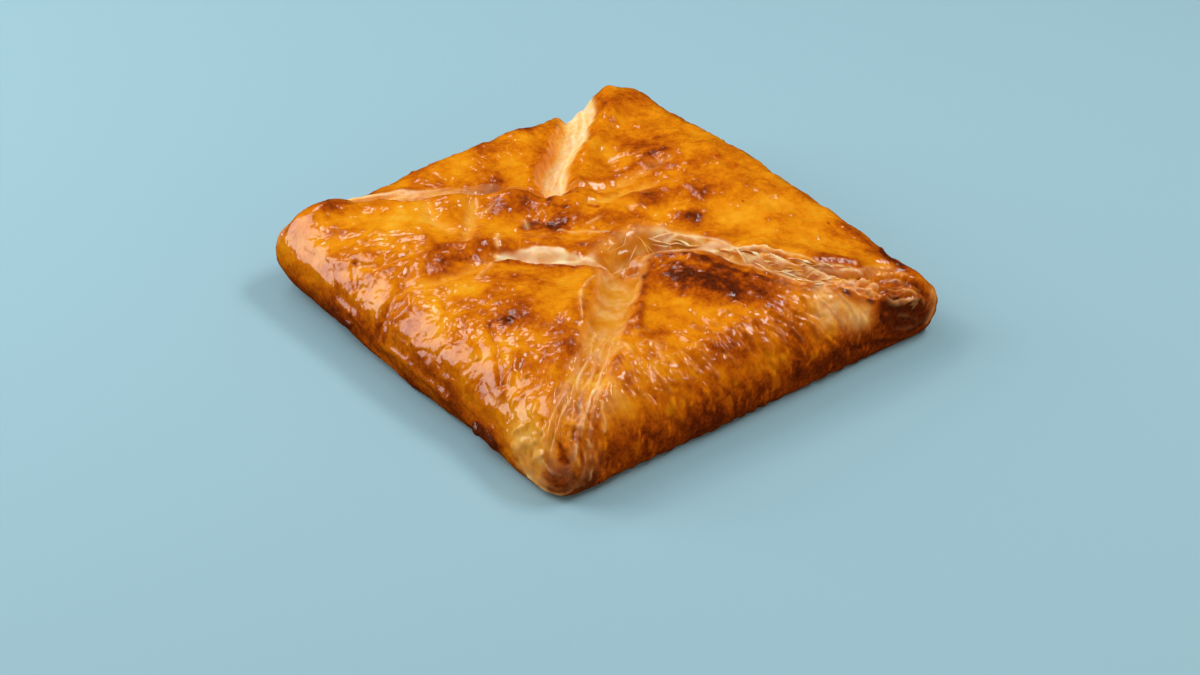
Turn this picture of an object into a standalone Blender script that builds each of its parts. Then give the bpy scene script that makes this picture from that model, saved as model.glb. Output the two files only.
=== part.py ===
"""Puff pastry khachapuri: a square of puff pastry with its four corners folded in over cheese.

The baked pastry is one solid. Its sides are four rolled folds, its top is four puffed flaps
that meet near the middle, and pale valleys part the flaps from each corner to the centre.
+X is east and +Y is north; the origin is the middle of the footprint, on the surface below.
"""

import math

import bpy
import numpy as np

MM = 0.001

# Driving sizes of the pastry, in millimetres.
REACH = {"east": 87.0, "north": 88.0, "west": 84.5, "south": 88.5}
FACING = {
    "east": 0.0, "north_east": 45.0, "north": 90.0, "north_west": 135.0,
    "west": 180.0, "south_west": 225.0, "south": 270.0, "south_east": 315.0,
}
BASE_TOP = 28.5
MIDDLE_SHIFT = (0.0, -1.0)

# How sharp the outline is at each corner.
SHARPNESS = {"north_east": 20.0, "north_west": 16.0, "south_west": 26.0, "south_east": 28.0}

# The roll of each side and corner: height of its widest line, inset of its foot, and how far
# in its rounded shoulder reaches.
ROLL = {
    "east": (14.0, 8.0, 12.0), "north_east": (16.0, 10.0, 11.0),
    "north": (13.0, 8.0, 12.0), "north_west": (14.5, 13.0, 14.0),
    "west": (12.5, 6.0, 18.0), "south_west": (8.0, 4.5, 18.0),
    "south": (12.5, 3.5, 17.0), "south_east": (11.5, 3.5, 10.0),
}

# Swells and pinches of the outline: direction, half width in degrees, amount outwards.
SWELLS = (
    (207.0, 10.0, -1.8),
    (225.0, 3.5, -1.0),
    (315.0, 3.5, 1.0),
    (297.0, 8.0, -0.5),
)

# Puffed areas of the top: centre x, y, radii along and across, turn in degrees, rise.
DOMES = (
    (-50.0, 36.0, 26.0, 20.0, 80.0, 4.0),
    (-44.0, -26.0, 24.0, 20.0, 70.0, 4.0),
    (10.0, -58.0, 34.0, 20.0, 0.0, 3.5),
    (10.0, -40.0, 13.0, 10.0, 30.0, 4.0),
    (62.0, 14.0, 46.0, 26.0, 85.0, 6.8),
    (14.0, 10.0, 22.0, 13.0, -25.0, 4.0),
    (72.0, 74.0, 18.0, 13.0, 50.0, 4.5),
    (4.0, 70.0, 34.0, 18.0, 0.0, 2.5),
    (-28.0, 46.0, 8.0, 7.0, 0.0, 3.0),
    (-9.0, 37.0, 9.0, 8.0, 0.0, 3.0),
    (6.0, 28.0, 7.0, 3.5, -15.0, 1.8),
    (33.0, 47.0, 8.0, 5.0, 20.0, 1.8),
    (33.0, -9.0, 6.0, 5.0, 0.0, 1.5),
    (22.0, 76.0, 6.0, 14.0, -20.0, 1.5),
    (82.0, -78.0, 18.0, 26.0, 0.0, -6.0),
    (-40.0, 80.0, 14.0, 12.0, 0.0, -2.5),
    (-68.0, 74.0, 12.0, 9.0, 30.0, 2.5),
)

# Valleys between the flaps, each from its corner inwards. Depth is at the start and the end.
# Left and right are the widths of the slopes beside the way in, also at the start and the
# end; flat is the share of them at the bottom; lips are the rise of the flap edges.
VALLEYS = {
    "north_west": {
        "path": ((-78, 82), (-58, 77), (-44, 67), (-36, 58), (-24, 53), (-12, 47), (-2, 39), (2, 29)),
        "depth": (3.0, 5.5), "left": (9.0, 5.0), "right": (3.0, 3.0), "flat": 0.0, "lips": (0.0, 1.5),
    },
    "north_east": {
        "path": ((55, 93), (51, 81), (41, 69), (25, 56), (13, 45), (4, 31)),
        "depth": (5.0, 7.0), "left": (13.0, 9.0), "right": (6.0, 3.0), "flat": 0.0, "lips": (3.0, 0.0),
    },
    "south_east": {
        "path": ((68, -84), (54, -82), (38, -68), (28, -51), (20, -33), (11, -20)),
        "depth": (2.0, 7.0), "left": (3.0, 3.0), "right": (12.0, 8.0), "flat": 0.25, "lips": (1.5, 2.0),
    },
    "south_west": {
        "path": ((-80, -86), (-66, -77), (-50, -65), (-34, -51), (-18, -37), (-5, -26)),
        "depth": (1.0, 3.8), "left": (7.0, 9.0), "right": (6.0, 7.0), "flat": 0.5, "lips": (1.5, 1.5),
    },
    "middle": {
        "path": ((-37, 10), (-25, -2), (-15, -13), (-6, -21), (2, -19), (11, -20)),
        "depth": (4.0, 7.0), "left": (7.0, 9.0), "right": (2.5, 2.5), "flat": 0.0, "lips": (2.2, 0.0),
    },
    "east_fold": {
        "path": ((50, 21), (30, 22), (14, 26), (6, 30)),
        "depth": (0.3, 2.2), "left": (5.0, 4.0), "right": (5.0, 4.0), "flat": 0.0, "lips": (0.0, 0.5),
    },
}
PIT = {"centre": (3.0, -17.0), "radii": (13.0, 8.0), "depth": 3.0}

# The cut leaves of pastry that show on the walls of the valleys: spacing and depth.
LEAF_SPACING = 3.6
LEAF_DEPTH = 0.7

# Creases in the crust of each side: their spacing along the side and up it, and their depth.
# The west side has long folds along it; creases run up the other sides.
CREASES = {
    "west": {"along": 55.0, "up": 8.5, "depth": 0.8},
    "south": {"along": 6.5, "up": 45.0, "depth": 0.5},
    "east": {"along": 15.0, "up": 30.0, "depth": 0.3},
    "north": {"along": 13.0, "up": 26.0, "depth": 0.4},
}
# The rolled end at the south east corner: rings of leaves round a middle point of the end.
SCROLL = {"height": 12.0, "spacing": 4.6, "depth": 0.4, "reach": 14.0}

# Cells along each side of the first mesh, and the triangles it is thinned to.
GRID = 150
FACE_BUDGET = 10400

# Points lower than this are part of the flat foot.
FOOT_FLATNESS = 0.08

CRUST_COLOUR = (0.62, 0.26, 0.05, 1.0)
CRUST_ROUGHNESS = 0.3


def smoothstep(t):
    t = np.clip(t, 0.0, 1.0)
    return t * t * (3.0 - 2.0 * t)


def turn_from(theta, name):
    """Angle between direction theta and a side's or corner's own direction."""
    turn = theta - math.radians(FACING[name])
    return np.arctan2(np.sin(turn), np.cos(turn))


def roll_at(theta):
    """Waist height, foot inset and shoulder reach of the folds, in direction theta."""
    total = np.zeros((3,) + theta.shape)
    weight = np.zeros(theta.shape)
    for name, values in ROLL.items():
        turn = np.degrees(turn_from(theta, name))
        if name in SHARPNESS:
            near = 6.0 * np.exp(-((turn / 14.0) ** 2))
        else:
            near = np.exp(-((turn / 50.0) ** 2))
        weight += near
        total += near * np.array(values).reshape((3,) + (1,) * theta.ndim)
    return total / weight


def outline_radius(theta):
    """Distance from the middle to the widest line of the folds, in direction theta."""
    power = np.zeros_like(theta)
    weight = np.zeros_like(theta)
    for name, sharp in SHARPNESS.items():
        near = np.exp(-((turn_from(theta, name) / 0.7) ** 2))
        power += near * sharp
        weight += near
    power /= weight
    total = np.zeros_like(theta)
    for side, reach in REACH.items():
        facing = np.clip(np.cos(turn_from(theta, side)), 1e-6, None)
        total += (facing / reach) ** power
    radius = total ** (-1.0 / power)
    degrees = np.degrees(theta) % 360.0
    for angle, width, amount in SWELLS:
        radius = radius + amount * np.exp(-(((degrees - angle) / width) ** 2))
    return radius


def smooth_path(points, per_leg=5):
    """Points along a Catmull-Rom curve through the given ones."""
    p = np.array(points, float)
    ends = np.vstack([2 * p[0] - p[1], p, 2 * p[-1] - p[-2]])
    rows = []
    for a, b, c, d in zip(ends[:-3], ends[1:-2], ends[2:-1], ends[3:]):
        for t in np.arange(per_leg) / per_leg:
            rows.append(0.5 * (2 * b + (c - a) * t + (2 * a - 5 * b + 4 * c - d) * t ** 2
                               + (3 * b - a - 3 * c + d) * t ** 3))
    rows.append(p[-1])
    return np.array(rows)


def across(path, x, y):
    """Distance from the path, how far along it (0 to 1), and the side (1 left, -1 right).

    The side changes smoothly round the ends of the path.
    """
    legs = np.diff(path, axis=0)
    lengths = np.hypot(legs[:, 0], legs[:, 1])
    before = np.concatenate([[0.0], np.cumsum(lengths)])
    best = np.full(x.shape, np.inf)
    side = np.zeros(x.shape)
    along = np.zeros(x.shape)
    for start, leg, length, done in zip(path[:-1], legs, lengths, before):
        dx = x - start[0]
        dy = y - start[1]
        t = np.clip((dx * leg[0] + dy * leg[1]) / length ** 2, 0.0, 1.0)
        gap = np.hypot(dx - t * leg[0], dy - t * leg[1])
        turn = (leg[0] * dy - leg[1] * dx) / (length * np.maximum(gap, 1e-6))
        nearer = gap < best
        best = np.where(nearer, gap, best)
        side = np.where(nearer, np.clip(turn, -1.0, 1.0), side)
        along = np.where(nearer, (done + t * length) / before[-1], along)
    return best, along, side


def valley(x, y, form):
    """Depth of one valley below the flaps, and the rise of the flap edges beside it."""
    gap, along, side = across(smooth_path(form["path"]), x, y)
    left_share = 0.5 + 0.5 * side
    depth = np.interp(along, (0.0, 1.0), form["depth"])
    left_width = np.interp(along, (0.0, 1.0), form["left"])
    right_width = np.interp(along, (0.0, 1.0), form["right"])
    width = right_width + (left_width - right_width) * left_share
    lip = form["lips"][1] + (form["lips"][0] - form["lips"][1]) * left_share
    fall = 1.0 - smoothstep((gap / width - form["flat"]) / (1.0 - form["flat"]))
    on_wall = 4.0 * fall * (1.0 - fall) * smoothstep((width - 4.0) / 4.0)
    leaves = LEAF_DEPTH * np.sin(2.0 * math.pi * (gap + 1.5 * np.sin(9.0 * along)) / LEAF_SPACING)
    sunk = depth * fall + leaves * on_wall
    raised = lip * np.exp(-(((gap - width - 3.0) / 5.0) ** 2))
    return sunk, raised


def cap_height(x, y):
    """Height of the top surface before the rolled sides round it off."""
    height = np.full(x.shape, BASE_TOP)
    for cx, cy, along, wide, turn, rise in DOMES:
        c = math.cos(math.radians(turn))
        s = math.sin(math.radians(turn))
        u = ((x - cx) * c + (y - cy) * s) / along
        v = (-(x - cx) * s + (y - cy) * c) / wide
        height += rise * np.exp(-(u * u + v * v))
    deepest = np.zeros(x.shape)
    for form in VALLEYS.values():
        sunk, raised = valley(x, y, form)
        deepest = np.maximum(deepest, sunk)
        height += raised
    px = (x - PIT["centre"][0]) / PIT["radii"][0]
    py = (y - PIT["centre"][1]) / PIT["radii"][1]
    return height - deepest - PIT["depth"] * np.exp(-(px * px + py * py) ** 1.5)


def creased(theta, radius, z):
    """Outward rise and fall of the creases and of the rolled end, at height z."""
    total = np.zeros_like(theta)
    for side, crease in CREASES.items():
        turn = turn_from(theta, side)
        along = radius * np.sin(turn)
        wander = 1.6 * np.sin(0.09 * along + 0.21 * z) + 0.9 * np.sin(0.23 * along - 0.13 * z)
        wave = 2.0 * math.pi * (along / crease["along"] + z / crease["up"]) + wander
        uneven = 0.6 + 0.4 * np.sin(0.147 * along + 0.31 * z + 1.3)
        on_side = smoothstep((0.74 - np.abs(turn)) / 0.2)
        total += crease["depth"] * uneven * on_side * np.sin(wave)
    end = np.degrees(turn_from(theta, "south_east")) * 1.9
    ring = np.hypot(end, z - SCROLL["height"])
    fade = np.exp(-((end / SCROLL["reach"]) ** 2))
    return total + SCROLL["depth"] * fade * np.cos(2.0 * math.pi * ring / SCROLL["spacing"])


def surface(count):
    """Top and bottom points of the pastry on a square grid of count cells a side."""
    line = np.linspace(-1.0, 1.0, count + 1)
    u, v = np.meshgrid(line, line, indexing="ij")
    rho = np.maximum(np.abs(u), np.abs(v))
    theta = np.arctan2(v, u)
    radius = outline_radius(theta)
    waist, foot, shoulder = roll_at(theta)
    half = 0.25 * sum(REACH.values())

    def roll(extent, arc):
        """Share of the outline's radius, and share of the full rise, over the roll."""
        path = half - extent + arc
        run = rho * path
        turn = np.clip((path - run) / arc, 0.0, 1.0) * math.pi / 2
        inset = np.where(run > half - extent, extent * (1.0 - np.cos(turn)), half - run)
        return 1.0 - inset / half, np.sin(turn)

    def place(share, z):
        outwards = share * radius + creased(theta, radius, z) * smoothstep((rho - 0.6) / 0.3)
        return MIDDLE_SHIFT[0] + outwards * np.cos(theta), MIDDLE_SHIFT[1] + outwards * np.sin(theta)

    share, risen = roll(shoulder, shoulder * math.pi / 2)
    flat_x = MIDDLE_SHIFT[0] + share * radius * np.cos(theta)
    flat_y = MIDDLE_SHIFT[1] + share * radius * np.sin(theta)
    top_z = waist + (cap_height(flat_x, flat_y) - waist) * risen
    top_x, top_y = place(share, top_z)
    share, sunk = roll(foot, (foot + waist) * math.pi / 4)
    low_z = waist * (1.0 - sunk)
    low_x, low_y = place(share, low_z)
    return (top_x, top_y, top_z), (low_x, low_y, low_z)


def grid_mesh(name, count):
    """One closed mesh from the two grids, which share the points of the widest line."""
    top, low = surface(count)
    side = count + 1
    index = np.arange(side * side).reshape(side, side)
    edge = np.zeros((side, side), bool)
    edge[[0, -1], :] = True
    edge[:, [0, -1]] = True
    low_index = index.copy()
    low_index[~edge] = side * side + np.arange((~edge).sum())
    points = np.vstack([
        np.stack([axis.ravel() for axis in top], 1),
        np.stack([axis[~edge] for axis in low], 1),
    ])
    centre = (points.min(0) + points.max(0)) / 2
    points -= [centre[0], centre[1], points[:, 2].min()]
    faces = []
    for grid, turned in ((index, False), (low_index, True)):
        corners = [grid[:-1, :-1], grid[1:, :-1], grid[1:, 1:], grid[:-1, 1:]]
        if turned:
            corners.reverse()
        faces.extend(np.stack(corners, -1).reshape(-1, 4).tolist())
    mesh = bpy.data.meshes.new(name)
    mesh.from_pydata((points * MM).tolist(), [], faces)
    mesh.validate()
    return mesh


def crust_material():
    material = bpy.data.materials.new("baked_crust")
    material.use_nodes = True
    shader = material.node_tree.nodes["Principled BSDF"]
    shader.inputs["Base Color"].default_value = CRUST_COLOUR
    shader.inputs["Roughness"].default_value = CRUST_ROUGHNESS
    shader.inputs["Metallic"].default_value = 0.0
    return material


def thinned(mesh):
    """The mesh with fewer triangles where it is flat, and its foot exactly flat again."""
    draft = bpy.data.objects.new("draft", mesh)
    bpy.context.scene.collection.objects.link(draft)
    thin = draft.modifiers.new("thin", "DECIMATE")
    thin.ratio = FACE_BUDGET / (4 * GRID * GRID)
    result = bpy.data.meshes.new_from_object(draft.evaluated_get(bpy.context.evaluated_depsgraph_get()))
    bpy.data.objects.remove(draft)
    for point in result.vertices:
        if point.co.z < FOOT_FLATNESS * MM:
            point.co.z = 0.0
    result.name = mesh.name
    return result


def add_pastry():
    mesh = thinned(grid_mesh("pastry_skin", GRID))
    mesh.materials.append(crust_material())
    mesh.shade_smooth()
    pastry = bpy.data.objects.new("pastry", mesh)
    bpy.context.scene.collection.objects.link(pastry)


def main():
    for old in list(bpy.data.objects):
        bpy.data.objects.remove(old)
    add_pastry()


main()
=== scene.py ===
"""Looks of the puff pastry khachapuri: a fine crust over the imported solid, flakes, light and camera.

Lengths are in millimetres in the pastry's own plan, +X east and +Y north, until a mesh is
made; meshes are in metres in the row frame, whose origin is the middle of the footprint.
"""

import math

import bpy
import numpy as np
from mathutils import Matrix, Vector


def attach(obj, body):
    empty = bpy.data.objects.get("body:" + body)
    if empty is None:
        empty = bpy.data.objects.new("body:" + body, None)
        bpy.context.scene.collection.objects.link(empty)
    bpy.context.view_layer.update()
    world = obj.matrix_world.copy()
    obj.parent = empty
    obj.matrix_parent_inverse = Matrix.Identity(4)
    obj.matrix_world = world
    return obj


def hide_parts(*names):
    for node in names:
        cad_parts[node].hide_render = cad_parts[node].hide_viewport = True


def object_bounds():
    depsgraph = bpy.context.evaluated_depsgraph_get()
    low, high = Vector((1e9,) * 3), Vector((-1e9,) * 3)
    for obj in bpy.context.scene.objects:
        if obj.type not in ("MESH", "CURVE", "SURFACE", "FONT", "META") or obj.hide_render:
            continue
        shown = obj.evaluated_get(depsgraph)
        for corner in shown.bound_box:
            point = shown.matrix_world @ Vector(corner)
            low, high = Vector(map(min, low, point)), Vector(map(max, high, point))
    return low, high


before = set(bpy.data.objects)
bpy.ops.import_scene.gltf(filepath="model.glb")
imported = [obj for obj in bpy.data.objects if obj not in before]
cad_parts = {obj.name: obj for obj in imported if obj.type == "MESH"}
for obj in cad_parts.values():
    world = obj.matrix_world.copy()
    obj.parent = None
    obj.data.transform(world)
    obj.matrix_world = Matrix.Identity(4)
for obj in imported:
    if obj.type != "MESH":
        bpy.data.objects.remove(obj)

cad_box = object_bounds()
MM = 0.001

# The driving sizes of the solid, repeated from its source. A roll is the height of its widest
# line, the inset of its foot and the reach of its rounded shoulder. A swell of the outline is a
# direction, a half width in degrees and an amount outwards. A dome is its centre, its radii along
# and across, its turn in degrees and its rise.
REACH = {"east": 87, "north": 88, "west": 84.5, "south": 88.5}
HALF_SIDE = sum(REACH.values()) / 4
ROUND = ("east", "north_east", "north", "north_west", "west", "south_west", "south", "south_east")
FACING = {name: 45.0 * number for number, name in enumerate(ROUND)}
BASE_TOP = 28.5
MIDDLE_SHIFT = (0.0, -1.0)
SHARPNESS = {"north_east": 20, "north_west": 16, "south_west": 26, "south_east": 28}
ROLL = {
    "east": (14, 8, 12), "north_east": (16, 10, 11),
    "north": (13, 8, 12), "north_west": (14.5, 13, 14),
    "west": (12.5, 6, 18), "south_west": (8, 4.5, 18),
    "south": (12.5, 3.5, 17), "south_east": (11.5, 3.5, 10),
}
# How strongly a corner and a side hold the roll to their own, and over how many degrees. Over how
# many radians a corner holds the outline to its own sharpness.
CORNER_PULL = (6.0, 14.0)
SIDE_PULL = (1.0, 50.0)
SHARPNESS_SPAN = 0.7
SWELLS = (
    (207, 10, -1.8),
    (225, 3.5, -1),
    (315, 3.5, 1),
    (297, 8, -0.5),
)
DOMES = (
    (-50, 36, 26, 20, 80, 4),
    (-44, -26, 24, 20, 70, 4),
    (10, -58, 34, 20, 0, 3.5),
    (10, -40, 13, 10, 30, 4),
    (62, 14, 46, 26, 85, 6.8),
    (14, 10, 22, 13, -25, 4),
    (72, 74, 18, 13, 50, 4.5),
    (4, 70, 34, 18, 0, 2.5),
    (-28, 46, 8, 7, 0, 3),
    (-9, 37, 9, 8, 0, 3),
    (6, 28, 7, 3.5, -15, 1.8),
    (33, 47, 8, 5, 20, 1.8),
    (33, -9, 6, 5, 0, 1.5),
    (22, 76, 6, 14, -20, 1.5),
    (82, -78, 18, 26, 0, -6),
    (-40, 80, 14, 12, 0, -2.5),
    (-68, 74, 12, 9, 30, 2.5),
)

# Valleys between the flaps, each from its corner inwards. A pair is for the start and the end, or
# for the left and the right where this says so. First the form: depth, widths of the left and the
# right slope, flat share at the bottom, rise of the lips left and right. Then the torn leaf:
#   pale left and right, times ends at the start and the end; clear is glassy, rough is torn
#   spread past the slopes at the start, a quarter of the way and the end
#   blur of its edge left and right, ragged stray of that edge
#   rims, the browning of the lips left and right; cream left and right, 0 amber to 1 cream
VALLEYS = {
    "north_west": {
        "path": ((-78, 82), (-58, 77), (-44, 67), (-36, 58), (-24, 53), (-12, 47), (-2, 39), (2, 29)),
        "depth": (3, 5.5), "left": (9, 5), "right": (3, 3), "flat": 0, "lips": (0, 1.5),
        "pale": (0.85, 0.2), "ends": (1, 0.15), "clear": (0, 0.25),
        "rough": (0.35, 0.35), "spread": (2.5, 2, -0.5), "blur": (2.6, 2.6), "rims": (0.1, 0.35),
        "ragged": 0.7, "cream": (0.55, 0.5),
    },
    "north_east": {
        "path": ((55, 93), (51, 81), (41, 69), (25, 56), (13, 45), (4, 31)),
        "depth": (5, 7), "left": (13, 9), "right": (6, 3), "flat": 0, "lips": (3, 0),
        "pale": (0.95, 0.85), "ends": (1, 0.9), "clear": (0, 0.1),
        "rough": (0.12, 0.12), "spread": (-0.5, -0.5, -0.5), "blur": (3.6, 6), "rims": (0.3, 0.4),
        "ragged": 1.2, "cream": (0.62, 0.28),
    },
    "south_east": {
        "path": ((68, -84), (54, -82), (38, -68), (28, -51), (20, -33), (11, -20)),
        "depth": (2, 7), "left": (3, 3), "right": (12, 8), "flat": 0.25, "lips": (1.5, 2),
        "pale": (0.6, 0.95), "ends": (0.1, 1), "clear": (0, 0.1),
        "rough": (1, 1), "spread": (-0.5, 0, 2.5), "blur": (2, 3), "rims": (0.6, 0.1),
        "ragged": 1, "cream": (0.5, 0.5),
    },
    "south_west": {
        "path": ((-80, -86), (-66, -77), (-50, -65), (-34, -51), (-18, -37), (-5, -26)),
        "depth": (1, 3.8), "left": (7, 9), "right": (6, 7), "flat": 0.5, "lips": (1.5, 1.5),
        "pale": (0.62, 0.62), "ends": (0.15, 1), "clear": (0.3, 1),
        "rough": (0.8, 0), "spread": (1.5, 1.5, 1.5), "blur": (4, 4), "rims": (0.3, 0.5),
        "ragged": 0.7, "cream": (0.42, 0.42),
    },
    "middle": {
        "path": ((-37, 10), (-25, -2), (-15, -13), (-6, -21), (2, -19), (11, -20)),
        "depth": (4, 7), "left": (7, 9), "right": (2.5, 2.5), "flat": 0, "lips": (2.2, 0),
        "pale": (1, 0.4), "ends": (1, 0.9), "clear": (0, 0.5),
        "rough": (0.35, 0.35), "spread": (-4.5, 1, -3), "blur": (1.4, 1.4), "rims": (0.3, 0.9),
        "ragged": 2, "cream": (0.9, 0.9),
    },
    "east_fold": {
        "path": ((50, 21), (30, 22), (14, 26), (6, 30)),
        "depth": (0.3, 2.2), "left": (5, 4), "right": (5, 4), "flat": 0, "lips": (0, 0.5),
        "pale": (0.1, 0.08), "ends": (1, 1), "clear": (0, 0),
        "rough": (0, 0), "spread": (-0.5, -0.5, -0.5), "blur": (3, 3), "rims": (0.2, 0.7),
        "ragged": 0.7, "cream": (0.5, 0.5),
    },
}
PIT = {"centre": (3.0, -17.0), "radii": (13.0, 8.0), "depth": 3.0}
LEAF_SPACING = 3.6
LEAF_DEPTH = 0.7
CREASES = {
    "west": {"along": 55, "up": 8.5, "depth": 0.8},
    "south": {"along": 6.5, "up": 45, "depth": 0.5},
    "east": {"along": 15, "up": 30, "depth": 0.3},
    "north": {"along": 13, "up": 26, "depth": 0.4},
}
SCROLL = {"height": 12, "spacing": 4.6, "depth": 0.4, "reach": 14}
SOLID_GRID = 150

# The lips and the browned rims of the flaps: how far they are from the slope, and their half width.
LIP_PLACE = (3.0, 5.0)
RIM_PLACE = (1.0, 1.6)

# The fine crust has shallower rings at the rolled end and calmer creases on the west side than
# the solid, because strokes draw its folds there.
FINE_SCROLL_DEPTH = 0.1
WEST_CALM = 0.5

# The cream of crust that has no torn leaf, and the length that the strands of a valley are for.
PLAIN_CREST = 0.5
VALLEY_LENGTH = 100.0

# How far from a valley points are left out, and the distance that stands for endless there.
FAR_OFF = 30.0
ENDLESS = 1000.0

# Fine wrinkles of each side: length along it and up it, and height, for broad and fine ones.
WRINKLES = {
    "west": ((13, 9, 0.6), (5, 4, 0.16)),
    "south": ((5, 15, 0.85), (2.6, 8, 0.45)),
    "east": ((6, 16, 0.35), (2.6, 7, 0.1)),
    "north": ((6.5, 14, 0.4), (2.6, 7, 0.12)),
}
# How far the wrinkles of the south side lean over as they go up.
SOUTH_LEAN = 0.35
SKIN_CELLS = 440

# Rings of points from the widest line down to the foot, the share of the way out that they end
# at, and the shares of the last rings, under the flat foot.
LOW_RINGS = 44
LOW_INNER = 0.74
FOOT_RINGS = (0.6, 0.3)

# How far the crust stays inside the solid's box, and the height over which its relief fades out
# above the flat foot.
BOX_MARGIN = 0.02
FOOT_FADE = 1.2

# Seeds of the random draws.
SEEDS = {"noise": 29, "blisters": 5, "drops": 11, "rows": 17, "loose_leaves": 3}

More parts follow.
